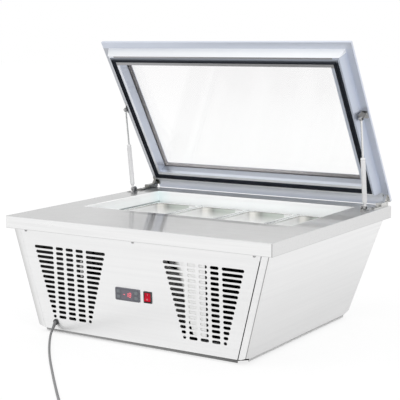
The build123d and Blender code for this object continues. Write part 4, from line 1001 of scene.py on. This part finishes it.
def shownRays(bench):
    # one for the rays that see the background: from the camera, off metal and through glass
    camera, gloss, glass = (bench.add("ShaderNodeLightPath", output=ray) for ray in
                            ("Is Camera Ray", "Is Glossy Ray", "Is Transmission Ray"))
    return camera.maths("MAXIMUM", camera, gloss.maths("MAXIMUM", gloss, glass))


def whiteWorld(plan):
    world = bpy.data.worlds.new("whiteWorld")
    bpy.context.scene.world = world
    world.use_nodes = True
    bench = Bench(world.node_tree)
    sky = world.node_tree.nodes["Background"]
    bench.feed(sky.inputs["Color"], grey(1.0))
    bench.feed(sky.inputs["Strength"], plan["sky"] + (1 - plan["sky"]) * shownRays(bench))


def paleFloor(plan):
    half = plan["floorSize"] / 2
    corners = [(-half, -half, 0), (half, -half, 0), (half, half, 0), (-half, half, 0)]
    mesh = bpy.data.meshes.new("floor")
    mesh.from_pydata(corners, [], [(0, 1, 2, 3)])
    paper = Finish("floorPaper", Base_Color=grey(plan["floor"]), Roughness=0.9, Specular_IOR_Level=0.0,
                   Emission_Strength=plan["floorLift"])
    paper.dress(Emission_Color=paper.blend(shownRays(paper), grey(0.0), grey(1.0)))
    mesh.materials.append(paper.material)
    placed("floor", mesh)


def softLamp(name, plan):
    # a round soft box, or a soft spot where the plan gives a cone
    lamp = bpy.data.lights.new(name, "SPOT" if "cone" in plan else "AREA")
    lamp.energy = plan["power"]
    if "cone" in plan:
        lamp.spot_size, lamp.spot_blend, lamp.shadow_soft_size = plan["cone"], plan["blend"], plan["size"]
    else:
        lamp.shape, lamp.size = "DISK", plan["size"]
    thing = placed(name, lamp)
    thing.location = plan["place"]
    thing.visible_glossy = False
    thing.rotation_euler = (Vector(plan["aim"]) - Vector(plan["place"])).to_track_quat("-Z", "Y").to_euler()


whiteWorld(studio)
paleFloor(studio)
for name in ("key", "top", "well"):
    softLamp(name + "Lamp", studio[name])

# Camera at the photograph's place, for a square frame

cameraPlan = {
    "azimuth": 32.96, "elevation": 8.29, "roll": -0.42, "distance": 3.24762, "target": (0.0, -0.0225, 0.3511),
    "sensor": 36.0, "focalInFrames": 1162.68 / 400,
}


def photoCamera(plan):
    a, e, r = (math.radians(plan[word]) for word in ("azimuth", "elevation", "roll"))
    back = Vector((math.sin(a) * math.cos(e), -math.cos(a) * math.cos(e), math.sin(e)))
    right = Vector((math.cos(a), math.sin(a), 0))
    up = back.cross(right)
    across, above = right * math.cos(r) + up * math.sin(r), up * math.cos(r) - right * math.sin(r)
    lens = bpy.data.cameras.new("photoCamera")
    lens.sensor_width, lens.lens = plan["sensor"], plan["sensor"] * plan["focalInFrames"]
    camera = placed("photoCamera", lens)
    place = Vector(plan["target"]) + back * plan["distance"]
    camera.matrix_world = Matrix.Translation(place) @ Matrix((across, above, back)).transposed().to_4x4()
    bpy.context.scene.camera = camera


photoCamera(cameraPlan)
bpy.context.scene.view_settings.view_transform = "Standard"
print("studio and camera set")
